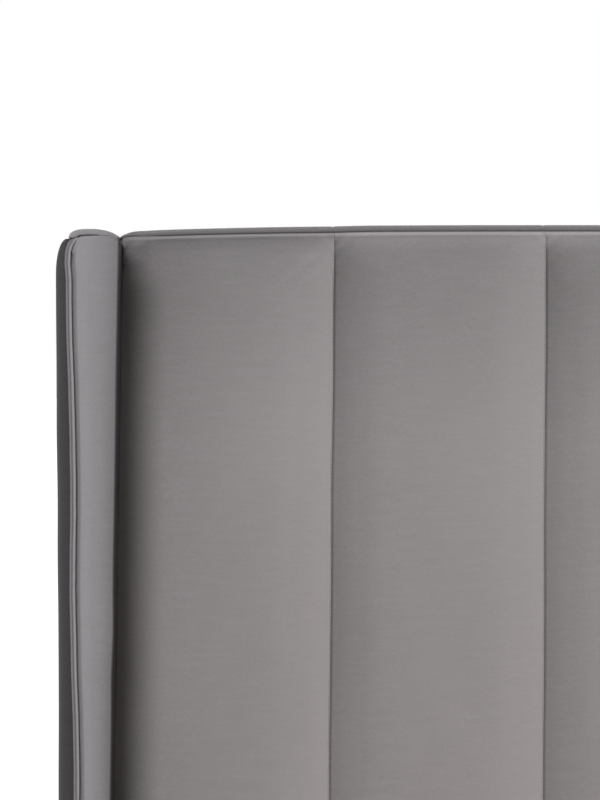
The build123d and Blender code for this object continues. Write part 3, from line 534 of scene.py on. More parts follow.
def wood(name, colour, along, rough):
    """Grain that runs along one axis, with annual rings, pores and a little gloss."""
    f = Finish(name)
    stretch, fine = (tuple(share if axis == along else 1.0 for axis in "xyz") for share in (0.06, 0.04))
    rings = f.bands("DIAGONAL", stretch, Scale=26.0, Distortion=5.5, Detail=3.0, Detail_Scale=1.4)
    pores = f.grain(420.0, 3.0, fine)
    mix = 0.45 * rings + 0.25 * pores + 0.30 * f.grain(3.5, 2.0, stretch)
    return f.done(Base_Color=f.toned(mix, colour, 0.72, 1.16), Roughness=rough + 0.18 * pores,
                  Normal=f.bump(pores, 0.0004, 0.3))


def particle_board(colour):
    f = Finish("particle_board")
    chips = f.cells(260.0, 1.0)
    base = f.toned(f.math("POWER", chips, 0.6), colour, 0.62, 1.25)
    return f.done(Base_Color=f.mix(0.25 * f.grain(900.0, 3.0), base, lit(colour, 0.4)), Roughness=0.82,
                  Normal=f.bump(chips, 0.0006, 0.4))


def laminate(colour):
    f = Finish("floor_laminate")
    fine = f.grain(700.0, 2.0, (1, 0.15, 1))
    wear = f.grain(4.0, 4.0)
    return f.done(Base_Color=f.toned(0.5 * fine + 0.5 * wear, colour, 0.75, 1.35),
                  Roughness=0.42 + 0.22 * wear, Normal=f.bump(fine, 0.0002, 0.3))


def powder_coat(name, colour, rough):
    """Orange-peel powder coat with dusty and rubbed patches."""
    f = Finish(name)
    worn = f.grain(14.0, 5.0)
    return f.done(Base_Color=f.toned(worn, colour, 0.8, 1.5), Roughness=rough + 0.2 * worn,
                  Normal=f.bump(f.grain(900.0), 0.00025, 0.35), Coat_Roughness=0.35)


def bare_metal(name, colour, rough, brushed):
    f = Finish(name)
    scratches = f.grain(brushed, 4.0, (0.08, 1, 1))
    return f.done(Base_Color=f.toned(f.grain(60.0, 4.0), colour, 0.82, 1.1), Metallic=1.0,
                  Roughness=rough + 0.22 * scratches, Normal=f.bump(scratches, 0.0001, 0.2))


def moulded(name, colour):
    f = Finish(name)
    scuffs = f.grain(22.0, 5.0)
    return f.done(Base_Color=f.toned(scuffs, colour, 0.8, 1.9), Roughness=0.42 + 0.25 * scuffs,
                  Normal=f.bump(f.grain(1200.0), 0.0002, 0.4))


def dust_cloth():
    """Black non-woven cloth with pressed dimples and stray fibres."""
    f = Finish("dust_cloth")
    fibres = f.grain(260.0, 5.0, (1, 1, 0.3), 1.2)
    return f.done(Base_Color=f.mix(fibres, (0.012, 0.012, 0.013), (0.055, 0.054, 0.056)), Roughness=0.9,
                  Normal=f.bump(f.cells(420.0, 0.25), 0.0003, 0.6), Sheen_Weight=0.1)


def webbing():
    """Woven polyester webbing: ribs across, with a herringbone of yarn."""
    f = Finish("webbing")
    ribs = f.bands("Z", Scale=130.0, Distortion=0.3)
    weave = 0.5 * ribs + 0.5 * f.bands("X", Scale=190.0, Distortion=0.6, Detail=1.0)
    return f.done(Base_Color=f.mix(weave, (0.010, 0.010, 0.011), (0.06, 0.06, 0.064)), Roughness=0.72,
                  Normal=f.bump(weave, 0.0005, 0.6), Sheen_Weight=0.15)


FINISHES = {}


def make_finishes():
    c = bpy.context.scene.bed_colours
    FINISHES.update({
        # Painted shade and highlight: the panels lighter where they face right, darker where they face left
        # or up, and painted shade towards the top and the wings
        "panel": velvet("velvet_panel", c.velvet, (0.95, 0.0, -0.22), 0.92, 0.20),
        # Painted shade: the wings' outer pads in a darker copy of the panel velvet, darker still where they
        # face the front
        "wing_side": velvet("velvet_wing_side_painted_shade", lit(c.velvet, 0.29), (0.0, 0.92, -0.1), 0.50, sheen=0.05),
        # Painted shade: the wings' inner pads in a much darker copy of the panel velvet, lighter where they
        # face down and darker where they face up
        "wing_inner": velvet("velvet_wing_inner_painted_shade", lit(c.velvet, 0.18), (0.0, -0.2, -0.9), 0.8, sheen=0.03),
        # Painted shade: the top border in a darker copy of the panel velvet, lighter where it faces up
        "border": velvet("velvet_border_painted_shade", lit(c.velvet, 0.52), (0.2, 0.0, 0.5), 0.40),
        # Painted shade and light by facing: the rail covers lighter where they face the front or down, darker
        # where they face up
        "rail": velvet("velvet_rail", c.velvet, (0.0, -0.25, -0.35), 0.30),
        "thread": thread(c.thread),
        "pine": wood("pine", c.pine, "z", 0.55),
        "pine_across": wood("pine_across", c.pine, "y", 0.55),
        "board": particle_board(c.board),
        "laminate": laminate(c.laminate),
        "foot": moulded("foot_plastic", (0.02, 0.02, 0.021)),
        "cap": moulded("cap_plastic", (0.022, 0.022, 0.023)),
        "bracket": powder_coat("bracket_coat", c.coat, 0.5),
        "lift": powder_coat("lift_coat", lit(c.coat, 0.8), 0.36),
        "tube": powder_coat("tube_coat", lit(c.coat, 1.35), 0.44),
        "strut": powder_coat("strut_paint", lit(c.coat, 0.5), 0.22),
        "zinc": bare_metal("zinc", (0.58, 0.58, 0.60), 0.28, 300.0),
        "chrome": bare_metal("rod_chrome", (0.72, 0.72, 0.73), 0.06, 500.0),
        "slat": wood("beech_ply", c.beech, "x", 0.30),
        "dust_cloth": dust_cloth(),
        "webbing": webbing(),
    })
    for word, side in SIDES:
        # Painted shade and highlight: the bands in the darkened velvet, lighter where they face outwards or
        # up and darker where they face inwards, with the highlight held low
        FINISHES[f"band_{word}"] = velvet(f"velvet_band_{word}", c.velvet_wing_front_shade, (0.95 * side, 0.0, 0.15),
                                          0.60, most=0.07)
        # Painted shade and highlight: the welts lighter where they face inwards and darker where they face
        # outwards
        FINISHES[f"welt_{word}"] = velvet(f"velvet_welt_{word}", lit(c.velvet_wing_front_shade, 1.02),
                                          (-0.92 * side, 0.0, 0.0), 0.90)


# Upholstery
def channel_depth(index, u, fall, half, x, z):
    """How far a channel stands over the panel: nearly flat, pulled in beside its seams, rolled at the top."""
    s = shape()
    seed = 1.7 * index + 0.4
    full = PLY_FRONT - GAP - CROWN
    tuck_reach = 0.0024
    lip_out, lip_rise, lip_reach = 0.0030, 0.0085, 0.0016
    roll_start, roll_reach = 0.0050, 0.062
    bead, bead_at, bead_reach = 0.0010, 0.0022, 0.0016
    away = (1 - abs(u)) * half
    by_wing = (index == 0 and u < 0) or (index == CHANNELS - 1 and u > 0)
    pull = 0.25 if by_wing else 1.0
    body = full - s.channel_arc * u * u - pull * s.seam_rise * math.exp(-away / s.seam_reach)
    body -= pull * s.seam_tuck * (1 - smooth(away / tuck_reach))
    crest = PLY_FRONT - BORDER_FRONT + lip_out + lip_rise * quarter(fall / lip_reach)
    rise = quarter(max(0.0, fall - roll_start) / roll_reach) ** 1.25
    depth = min(crest + (body - crest) * rise, body) + bead * bell(fall - bead_at, bead_reach)
    gathered = math.exp(-fall / 0.020) * math.exp(-away / 0.016)
    depth += 0.0006 * gathered * math.sin(away / 0.0034 + 9 * fall / 0.03 + seed)
    return depth + rumple(x, 0.0, z, 0.16, 0.0013, seed) + rumple(x, 0.0, z, 0.04, 0.0002, seed + 4)


def channel(index):
    """One tall cushion, from the seam at its left to the seam at its right."""
    rings = []
    back = PLY_FRONT - GAP
    shares = [math.sin(math.pi / 2 * t) for t in spread(-1, 1, 89)]
    for t in [0, 0.006, 0.012, 0.02, *spread(0.035, 0.90, 120), *spread(0.9035, 1.0, 66)]:
        base_z = CHANNEL_LOW + t * (HEAD_TOP - CHANNEL_LOW)
        left = channel_edge(index, base_z) + GAP / 2
        right = channel_edge(index + 1, base_z) - GAP / 2
        half = (right - left) / 2
        ring = []
        for u in shares:
            sway = seam_sway(base_z, round(index + 0.5 + u / 2)) * abs(u) ** 8
            x = (left + right) / 2 + half * u + sway
            top = border_low(x) - 0.0002
            z = CHANNEL_LOW + t * (top - CHANNEL_LOW)
            depth = channel_depth(index, u, top - z, half, x, z)
            depth *= 0.55 + 0.45 * quarter((z - CHANNEL_LOW) / 0.03)
            ring.append((x, back - depth, z))
        rings.append(ring + [(ring[-1][0], back, ring[-1][2]), (ring[0][0], back, ring[0][2])])

    def held(x, y, z):
        edge = min(x - channel_edge(index, z), channel_edge(index + 1, z) - x)
        fall = border_low(x) - z
        return y > back - 0.030 or edge < 0.005 or fall < 0.012 or z < CHANNEL_LOW + 0.004

    name = f"channel_{index + 1}"
    return skin(name, puffed(name, rings, held, most=0.0022))


def top_border():
    """The border that closes the headboard's top, with a join over each channel seam. Its ends run on
    over the wings' cores, up to the caps."""
    rings = []
    join = 0.0012
    joins = [channel_edge(i, FRAME_TOP) - join for i in range(1, CHANNELS)]
    places = {*spread(-BORDER_HALF, BORDER_HALF, 360), *(j + d for j in joins for d in (-join, 0, join))}
    low = FRAME_TOP + CLOSE
    for x in sorted(places):
        top = border_top(x) + waver(x, 2.0, 0.09, 0.0003)
        seam = max(border_low(x), low + 0.0012)
        sunk = 0.0011 + 0.0008 * smooth((abs(x) / WING_INNER - 0.45) / 0.15)
        crease = 0.0008 * max(bell(x - j, join) for j in joins)
        front = BORDER_FRONT + 0.0004 + crease + waver(x, 5.0, 0.05, 0.0004)
        ring = [(x, BACK, low), (x, front + 0.0030, low), (x, front + 0.0026, seam - 0.0010)]
        tall = min(0.0052, (top - seam) * 0.62)
        start = seam - 0.0004
        for t in spread(0.0, 1.0, 9):
            ring.append((x, front - 0.0008 * math.sin(math.pi * t) + sunk * fold(t, 0.45), start + t * tall))
        start += tall
        for t in spread(0.12, 1.0, 16):
            y = front + 0.001 + (BACK - front - 0.001) * t
            lift = (1 - abs(2 * t - 1) ** 2.2) ** 0.5
            ring.append((x, y, start + (top - start - crease) * lift if t < 1 else seam))
        rings.append(ring)
    return skin("top_border", rings)


def merged_share(x):
    """How far a wing's band and cap run into one another: wholly beside the headboard, not at all outside."""
    return 1 - smooth((x - WING_INNER - 0.020) / 0.016)


def band_top(x, outer):
    """Height of a band's top edge: level under the cap, rounded off towards the welt and the inner edge."""
    tilt = 0.0010 * smooth((x - WING_SEAM + 0.030) / 0.025)
    return BAND_TOP - 0.0215 * fold(outer - x, 0.0130) - tilt - 0.0026 * fold(x - CAP_INNER, 0.012)


def band(name, side):
    """A wing's front band: a low crown, crisp at the inner edge, rolled into the welt's seam at the outer."""
    s = shape()
    rings = []
    back = CORE_FRONT - GAP
    depth = back - WING_FRONT
    dent = 0.675
    for z in [BAND_LOW, BAND_LOW + 0.001, BAND_LOW + 0.004, *spread(BAND_LOW + 0.01, BAND_TOP - 0.03, 150),
              *crowded(BAND_TOP, 0.03, 0.04)]:
        outer = welt_line_x(z) - 0.0022 + welt_sway(z, side)
        wave = 0.0009 * math.sin((z - dent) / 0.029) * bell(z - dent, 0.07)
        inner = wing_inner(z) - 0.0014 - wave + waver(z, 6.0 + side, 0.16, 0.0006)
        width = outer - inner
        upper = smooth((z - BAND_TOP + 0.03) / 0.03)
        sunk = 1 - 0.7 * smooth((z - BAND_TOP + 0.028) / 0.014)
        ring = []
        for t in eased(53):
            a = t * width
            x = inner + a
            merged = merged_share(x)
            kept = 0.60 + 0.37 * merged
            puff = quarter((BAND_TOP - z) / (0.0028 - 0.0018 * merged))
            puff *= quarter((z - BAND_LOW + 0.0005) / 0.004)
            rise = min(quarter(a / 0.0017), 1 - sunk * (1 - smooth((width - a - 0.0014) / 0.0058)))
            crown = s.band_crown * (1 - abs(2 * t - 1) ** 2.4)
            swell = rumple(x, side, z, 0.09, 0.0009) + rumple(x, side, z, 0.028, 0.0002, 3.0)
            reach = (depth - s.band_crown) * (0.12 + 0.88 * rise) + crown + swell * (1 - upper)
            reach *= kept + (1 - kept) * puff
            ring.append((side * x, back - max(reach, 0.001), z + (band_top(x, outer) - BAND_TOP) * upper))
        rings.append(ring + [(side * outer, back, ring[-1][2]), (side * inner, back, ring[0][2])])
    return skin(name, rings)


def cap_drop(x):
    """How far a cap has fallen below its crest: a long slope to the headboard, a short one outside."""
    fall, reach, power = (0.0107, 0.0341, 2.15) if x < CAP_CREST else (0.0094, 0.0310, 4.06)
    return fall * (abs(x - CAP_CREST) / reach) ** power


def cap(name, side):
    """The boxing that runs back over a wing's top. Its front rolls out over the band, and its inner edge
    draws back from the headboard's border."""
    rings = []
    roll = 0.0045
    front = WING_FRONT + 0.0020
    under = CORE_FRONT - GAP - front
    for t in [*(roll * (1 - math.cos(math.pi / 2 * i / 8)) for i in range(9)), 0.007, under - 0.0001,
              under + 0.0004, *spread(under + 0.003, BACK - front - 0.004, 44), BACK - front]:
        y = front + t
        tuck = 0.0030 * fold(t, 0.0050)
        rear = 0.002 * (1 - quarter((BACK - y) / 0.004 + 0.05))
        drawn = (BORDER_HALF + 0.0009 - CAP_INNER) * smooth((t - 0.01) / 0.12)
        inner_x = CAP_INNER + drawn + tuck * 0.3
        outer_x = CAP_OUTER - tuck * 0.6
        lip = 0.0026 * fold(t, roll)
        above, below = [], []
        for u in eased(49):
            x = inner_x + (outer_x - inner_x) * u
            drop = cap_drop(x - drawn * (1 - u)) + 0.0016 * fold(u, 0.03) + 0.004 * fold(1 - u, 0.06)
            z = WING_TOP - 0.0003 - drop - tuck - rear + rumple(x, y, side, 0.05, 0.0004)
            open_share = (1 - merged_share(x)) * smooth((WING_SEAM - 0.004 - x) / 0.008)
            floor = max(band_top(x, WING_SEAM - 0.0010), BAND_TOP - 0.0028) + 0.0004 + lip * open_share
            if t > under:
                floor = FRAME_TOP + CLOSE
            above.append((side * x, y, max(z, FRAME_TOP + GAP + 0.0005)))
            below.append((side * x, y, min(floor, above[-1][2] - 0.0002)))
        rings.append(above + below[::-1])
    return skin(name, rings)


def inner_pad(name, side):
    """The thin pad on a wing's inner face."""
    rings = []
    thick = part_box("wing_inner_pad_right")[1].x - wing_inner(BAND_LOW)
    back = PLY_FRONT - GAP
    for z in [BAND_LOW, BAND_LOW + 0.002, *spread(BAND_LOW + 0.008, FRAME_TOP - 0.006, 110), FRAME_TOP]:
        ring = []
        puff = quarter((z - BAND_LOW) / 0.006 + 0.1)
        for t in eased(33):
            y = CORE_FRONT + (back - CORE_FRONT) * t
            edge = min(quarter((y - CORE_FRONT) / 0.004 + 0.15), 1.0)
            swell = 0.0012 * (1 - (2 * t - 1) ** 2) + rumple(side, y, z, 0.08, 0.0009)
            swell *= min(1, (FRAME_TOP - z) / 0.03)
            x = wing_inner(z) + 0.0006 + thick * 0.35 * (1 - edge * puff) - swell * 0.6 * puff
            ring.append((side * max(x, wing_inner(z) - 0.0006), y, z))
        far = side * (wing_inner(z) + thick - 0.0004)
        rings.append(ring + [(far, back, z), (far, CORE_FRONT, z)])
    return skin(name, rings)


def outer_pad(name, side):
    """The crowned pad on a wing's outer face, rolled at the welt, at the back and round its top corner."""
    rings = []
    crown = PAD_OUTER - WING_SEAM - GAP
    length = BACK - PAD_FRONT
    corner, roll, fall, spread_below = 0.042, 0.020, 0.0140, 0.0069
    top = FRAME_TOP + 0.0068
    for z in [PAD_LOW, PAD_LOW + 0.0015, PAD_LOW + 0.005, *spread(PAD_LOW + 0.012, top - 0.045, 150),
              *crowded(top, 0.045, 0.03)]:
        base = CAP_OUTER + 0.0002 if z > FRAME_TOP - 0.0005 else wing_seam(z) + GAP
        turned = max(0.0, (z - (top - corner)) / corner)
        full = wing_seam(z) + GAP + crown - 0.0006 + spread_below * (FRAME_TOP - min(z, FRAME_TOP))
        full -= fall * (1 - math.sqrt(max(0.0, 1 - turned ** 2)))
        full -= 0.006 * (1 - quarter((z - PAD_LOW) / 0.010 + 0.05))
        full = max(full, base + 0.0006)
        ring = []
        for t in eased(61):
            a = t * length
            front_roll, back_roll = quarter(a / roll), quarter((length - a) / roll)
            swell = rumple(side, PAD_FRONT + a, z, 0.12, 0.0011) * front_roll * back_roll
            swell *= min(1, (top - z) / 0.04)
            lift = 0.20 + 0.80 * min(front_roll, back_roll)
            x = base + (full - base) * lift + swell - 0.0012 * abs(2 * t - 1) ** 2
            ring.append((side * max(x, base + 0.0004), PAD_FRONT + a, z))
        rings.append(ring + [(side * base, BACK, z), (side * base, PAD_FRONT, z)])

    def held(x, y, z):
        flat = abs(x) < wing_seam(z) + 0.006
        ends = z > FRAME_TOP - 0.03 or z < PAD_LOW + 0.006
        return flat or ends or y < PAD_FRONT + 0.006 or y > BACK - 0.008

    return skin(name, puffed(name, rings, held, most=0.0014))


def welt_line(side):
    """Points up a wing's front edge and round the band's top corner, with the line's outward normal."""
    wide, tall = 0.0140, 0.0250
    middle = BAND_TOP - 0.0032 - tall
    points = [(welt_line_x(z) + welt_sway(z, side), z, 1.0, 0.0) for z in spread(PAD_LOW, middle, 190)]
    start = points[-1][0] - wide
    for c, s in arc(3, 82, 30):
        out = Vector((c / wide, s / tall)).normalized()
        points.append((start + wide * c, middle + tall * s, out.x, out.y))
    return [(side * x, z, side * nx, nz) for x, z, nx, nz in points]


def welt(name, side):
    """The welt beside the front band: a full cord and, outside it, a thinner lip, under one cloth."""
    r = shape().welt_radius
    lip, lip_at = 0.0006, 0.0051
    y0 = WING_FRONT + 0.0036
    rings = []
    line = welt_line(side)
    for i, (x, z, nx, nz) in enumerate(line):
        fade = quarter((len(line) - 1 - i) / 10 + 0.02)
        pinch = 1 + 0.12 * noise.noise(Vector((z / 0.018, side * 3.0, 1.0)))
        full = r * pinch
        ring = [(0.0003 + full * fade * c, y0 - full * (0.4 + 0.6 * fade) * s) for c, s in arc(200, -50, 15)]
        ring += [((lip_at + lip * c) * fade, y0 + 0.0029 - lip * pinch * s + 0.8 * lip * (1 + c))
                 for c, s in arc(160, -80, 11)]
        ring += [(lip_at * fade + lip, y0 + 0.006), (-r * 0.6 * fade, y0 + 0.006)]
        rings.append([(x + a * nx, y, z + a * nz) for a, y in ring])
    return skin(name, rings)


def rail_section(place, seed):
    """Points of a rail cover's section, as (out, up): up the outside, along the top, back along the core."""
    points = []
    corner, hem = 0.013, 0.0035
    deep = RAIL_CORE_OUTER - RAIL_INNER
    top = RAIL_TOP - 0.0006
    full = RAIL_OUTER - RAIL_CORE_OUTER - GAP - 0.0040
    for z in [COVER_LOW, COVER_LOW + 0.0015, COVER_LOW + 0.005,
              *spread(COVER_LOW + 0.012, RAIL_TOP - corner, 40)]:
        share = (z - COVER_LOW) / (RAIL_TOP - COVER_LOW)
        bulge = 0.0020 * math.sin(math.pi * share) + rumple(place, seed, z, 0.11, 0.0010)
        tuck = 0.004 * (1 - quarter((z - COVER_LOW) / 0.008 + 0.08))
        points.append((full + bulge - tuck, z))
    start = points[-1][0] - corner
    for c, s in arc(8, 90, 11):
        points.append((start + corner * c, RAIL_TOP - corner + (corner - 0.0006) * s))
    for t in spread(0.08, 1.0, 16):
        a = start - (start + deep - hem) * t
        points.append((a, top + (0.0012 + rumple(place, a, seed, 0.06, 0.0006)) * math.sin(math.pi * t)))
    points += [(-deep + hem - hem * s, top - hem + hem * c) for c, s in arc(15, 90, 6)]
    return points + [(-deep, RAIL_CORE_TOP + GAP), (0.0, RAIL_CORE_TOP + GAP), (0.0, COVER_LOW)]


def side_cover(name, side):
    """Padded velvet over a side rail."""
    rings = []
    start = FOOT_CORE + 2 * GAP
    joint = FOOT_INNER + 2 * GAP
    for y in [start, start + 0.002, joint - 0.0002, joint, joint + 0.0015, joint + 0.005,
              *spread(joint + 0.012, COVER_END - 0.008, 260), COVER_END - 0.003, COVER_END]:
        ends = quarter((COVER_END - y) / 0.004 + 0.1)
        ends *= quarter((y - joint) / 0.004 + 0.15) if y >= joint else 1
        shrink = 0.0016 * (1 - ends)
        ring = []
        for out, z in rail_section(y, 3.0 * side):
            if y < joint:
                z = min(z, RAIL_CORE_TOP - GAP)
                out = max(out, 0.0)
            x = RAIL_CORE_OUTER + GAP + out - (shrink if out > 0 else 0)
            ring.append((side * x, y, z - (shrink if z > RAIL_CORE_TOP + 2 * GAP else 0)))
        rings.append(ring)

    def held(x, y, z):
        flat = abs(x) < RAIL_CORE_OUTER + 0.004 and z < RAIL_CORE_TOP + 0.003
        ends = y < joint + 0.010 or y > COVER_END - 0.006
        return flat or ends or z < COVER_LOW + 0.010 or abs(x) < RAIL_INNER + 0.005

    return skin(name, puffed(name, rings, held, most=0.0016))


def foot_cover():
    """Padded velvet over the foot rail, its ends folded round the corners."""
    rings = []
    half = RAIL_OUTER
    over = RAIL_CORE_TOP + 2 * GAP
    for x in [-half, -half + 0.0006, -half + 0.002, -half + 0.0045, *spread(-half + 0.009, half - 0.009, 240),
              half - 0.0045, half - 0.002, half - 0.0006, half]:
        folded = fold(half - abs(x), 0.0065)
        ring = []
        for out, z in rail_section(x, 9.0):
            if out > 0.0:
                out = max(out - 0.0065 * folded, 0.0006)
            if z > over:
                z = max(z - 0.0040 * folded, over)
            ring.append((x, FOOT_CORE - GAP - out, z))
        rings.append(ring)

    def held(x, y, z):
        flat = y > FOOT_CORE - 0.004 and z < RAIL_CORE_TOP + 0.003
        return flat or abs(x) > half - 0.008 or z < COVER_LOW + 0.010 or y > FOOT_INNER - 0.005

    return skin("foot_cover", puffed("foot_cover", rings, held, most=0.0016))


def back_cloth():
    """The dust cloth, stretched over the frame's back and stapled round its edge."""
    low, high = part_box("head_back_cover")
    middle = (low + high) / 2
    rim_width = 0.05
    deselect()
    bpy.ops.mesh.primitive_grid_add(x_subdivisions=150, y_subdivisions=120, size=1)
    cloth = bpy.context.object
    cloth.name = "back_cloth"
    for v in cloth.data.vertices:
        z = middle.z + v.co.y * (high.z - low.z)
        half = wing_seam(z) - 0.002
        x = 2 * half * v.co.x
        rim = min(quarter(d / rim_width) for d in (half - abs(x), z - low.z, high.z - z))
        edge = min(abs(half - abs(x)), z - low.z, high.z - z)
        gather = math.exp(-edge / 0.03) * 0.0005 * math.sin((x + z) / 0.0095)
        y = FRAME_BACK + 0.0013 + gather - 0.0006 * rim + rumple(x, 0, z, 0.22, 0.0009) * rim
        v.co = (x, min(max(y, FRAME_BACK + 0.0004), high.y - 0.0010), z)
    thicken = cloth.modifiers.new("thickness", "SOLIDIFY")
    thicken.thickness = 0.0006
    thicken.offset = 0
    select([cloth])
    bpy.ops.object.modifier_apply(modifier="thickness")
    mode("EDIT")
    face_outwards()
    bpy.ops.object.shade_smooth()
    return cloth, 2 * high.x, high.z - low.z


def staples():
    """A row of staples round the dust cloth."""
    low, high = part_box("head_back_cover")
    deselect()
    bpy.ops.mesh.primitive_cube_add(size=1)
    staple = bpy.context.object
    staple.data.transform(Matrix.Diagonal((*STAPLE, 1)))
    mode("EDIT")
    bpy.ops.mesh.select_all(action="SELECT")
    bpy.ops.mesh.bevel(offset=0.00025, segments=1, affect="EDGES")
    mode("OBJECT")
    random.seed(11)
    inset = 0.012
    places = []
    for z in spread(low.z + 0.03, high.z - 0.03, 19):
        half = wing_seam(z) - inset
        places += [(half, z, 90), (-half, z, 90)]
    for x in spread(-0.68, 0.68, 23):
        places += [(x, low.z + inset, 0), (x, high.z - inset, 0)]
    copies = []
    for x, z, turn in places:
        turned = Matrix.Rotation(math.radians(turn + random.uniform(-9, 9)), 4, "Y")
        copies.append(placed_copy(staple, Matrix.Translation((x, high.y - 0.0006, z)) @ turned))
    bpy.data.objects.remove(staple)
    return joined(copies, "back_staples")


def round_corners(low, high, radius, count):
    """Points and outward normals round a rectangle with rounded corners, from its far right one on."""
    points = []
    corners = ((high[0], high[1]), (low[0], high[1]), (low[0], low[1]), (high[0], low[1]))
    for (a, b), start in zip(corners, (0, 90, 180, 270)):
        centre = (a - radius if a == high[0] else a + radius, b - radius if b == high[1] else b + radius)
        points += [(centre[0] + radius * c, centre[1] + radius * s, c, s)
                   for c, s in arc(start, start + 90, count)]
    return points


def pull_strap():
    """A webbing loop on a doubled tail."""
    half, thick, fit = 0.0198, STRAP_THICK, 0.00125
    section = [(x, t) for x, t, _, _ in round_corners((-half, -thick / 2), (half, thick / 2), 0.0007, 4)]
    path = round_corners((STRAP_LOW.y + fit, STRAP_HIGH.z - 0.110 + fit),
                         (STRAP_LOW.y + 0.022 - fit, STRAP_HIGH.z - fit), 0.0072, 9)
    rings = [[(x, y + t * ny, z + t * nz) for x, t in section] for y, z, ny, nz in [*path, path[0]]]
    layers = [skin("strap_loop", rings, closed_ends=False)]
    for offset in (thick / 2 + 0.00005, 1.5 * thick + 0.0003):
        rings = []
        for z in [STRAP_LOW.z, *spread(STRAP_LOW.z + 0.001, STRAP_LOW.z + 0.0405, 30), STRAP_LOW.z + 0.0415]:
            sway = rumple(offset * 900, 0, z, 0.02, 0.00012)
            rings.append([(x, TAIL_PLACE - offset + t + sway, z) for x, t in section])
        layers.append(skin("strap_tail", rings))
    return joined(layers, "pull_webbing")


def hoop(node):
    """A mattress hoop: one rod, bent round two corners, its feet on the platform."""
    low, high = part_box(node)
    radius = (high.y - low.y) / 2
    middle = (low + high) / 2
    corner = 0.030
    half = (high.x - low.x) / 2 - radius
    bend = high.z - radius - corner
    line = [(-half, z) for z in spread(low.z, bend, 4)]
    line += [(-half + corner - corner * c, bend + corner * s) for c, s in arc(9, 90, 10)]
    line += [(-x, z) for x, z in reversed(line)]
    rings = []
    for i, (x, z) in enumerate(line):
        before, after = line[max(i - 1, 0)], line[min(i + 1, len(line) - 1)]
        along = Vector((after[0] - before[0], 0, after[1] - before[1])).normalized()
        rings.append([(middle.x + x + radius * c * along.z, middle.y + radius * s, z - radius * c * along.x)
                      for c, s in arc(0, 345, 24)])
    return skin(f"bent_{node}", rings)


def row_of_stitches(name, lines):
    """Sewing stitches along lines of (place, direction) points: short capsules with sunk ends."""
    deselect()
    bpy.ops.mesh.primitive_uv_sphere_add(segments=6, ring_count=4, radius=1)
    one = bpy.context.object
    one.data.transform(Matrix.Diagonal((*STITCH, 1)))
    copies = []
    for place, direction in lines:
        turn = Vector(direction).to_track_quat("Z", "Y").to_matrix().to_4x4()
        copies.append(placed_copy(one, Matrix.Translation(place) @ turn))
    bpy.data.objects.remove(one)
    whole = joined(copies, name)
    select([whole])
    bpy.ops.object.shade_smooth()
    return whole


def seam_stitches():
    """Stitches beside each seam between two channels, on the left channel's skin."""
    lines = []
    inset = 0.0016
    for index in range(1, CHANNELS):
        z = CHANNEL_LOW + 0.03
        while z < HEAD_TOP - shape().border_seam - 0.016:
            half = wing_inner(z) / CHANNELS
            x = channel_edge(index, z) - inset + seam_sway(z, index)
            depth = channel_depth(index - 1, 1 - inset / half, border_low(x) - z, half, x, z)
            lines.append(((x, PLY_FRONT - GAP - depth - 0.0001, z), (0.02, 0.0, 1.0)))
            z += shape().stitch_pitch
    return row_of_stitches("channel_stitches", lines)


def strap_stitches():
    """A box and a cross on the strap's tail."""
    y = TAIL_PLACE - 2 * STRAP_THICK - 0.0004
    z0, z1 = STRAP_LOW.z + 0.022, STRAP_LOW.z + 0.038
    half, pitch = 0.014, 0.0032
    ends = [((-half, z0), (half, z0)), ((-half, z1), (half, z1)), ((-half, z0), (-half, z1)),
            ((half, z0), (half, z1)), ((-half, z0), (half, z1)), ((-half, z1), (half, z0))]
    lines = []
    for (x0, a0), (x1, a1) in ends:
        count = int(math.hypot(x1 - x0, a1 - a0) / pitch)
        for i in range(count):
            t = (i + 0.5) / count
            lines.append(((x0 + (x1 - x0) * t, y, a0 + (a1 - a0) * t), (x1 - x0, 0.0, a1 - a0)))
    return row_of_stitches("strap_stitches", lines)


class BED_OT_finishes(bpy.types.Operator):
    """Make the finishes and give every carried piece its own"""
    bl_idname = "bed.finishes"
    bl_label = "Finishes"

    def execute(self, context):
        make_finishes()
        wanted = {
            "head_frame": "pine", "head_front_panel": "board", "floor_battens": "pine_across",
            "foot_ledge": "pine_across", "storage_floor": "laminate", "feet": "foot",
            "foot_brackets": "bracket", "rail_hooks": "bracket", "rest_bracket": "bracket",
            "frame_bolts": "zinc", "platform_fasteners": "zinc", "lift_base_pins": "zinc", "lift_": "lift",
            "strut_cylinder": "strut", "strut_rod": "chrome", "wing_core": "board",
            "side_rail_left": "board", "side_rail_right": "board", "foot_rail": "board", "slat_row": "slat",
            "slat_caps": "cap", "platform_": "tube", "mattress_hoop": "tube",
        }
        for name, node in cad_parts.items():
            keys = [key for key in wanted if name.startswith(key)]
            if keys:
                node.data.materials.clear()
                node.data.materials.append(FINISHES[wanted[max(keys, key=len)]])
        return {"FINISHED"}


class BED_OT_channels(bpy.types.Operator):
    """Build the headboard's five channels and their stitching"""
    bl_idname = "bed.channels"
    bl_label = "Channels"

    def execute(self, context):
        for index in range(CHANNELS):
            tie(channel(index), "base", [f"head_channel_{index + 1}"], "panel")
        tie(seam_stitches(), "base", (), "thread")
        return {"FINISHED"}


class BED_OT_border(bpy.types.Operator):
    """Build the border along the headboard's top"""
    bl_idname = "bed.border"
    bl_label = "Top border"

    def execute(self, context):
        tie(top_border(), "base", ["head_top_border"], "border")
        return {"FINISHED"}


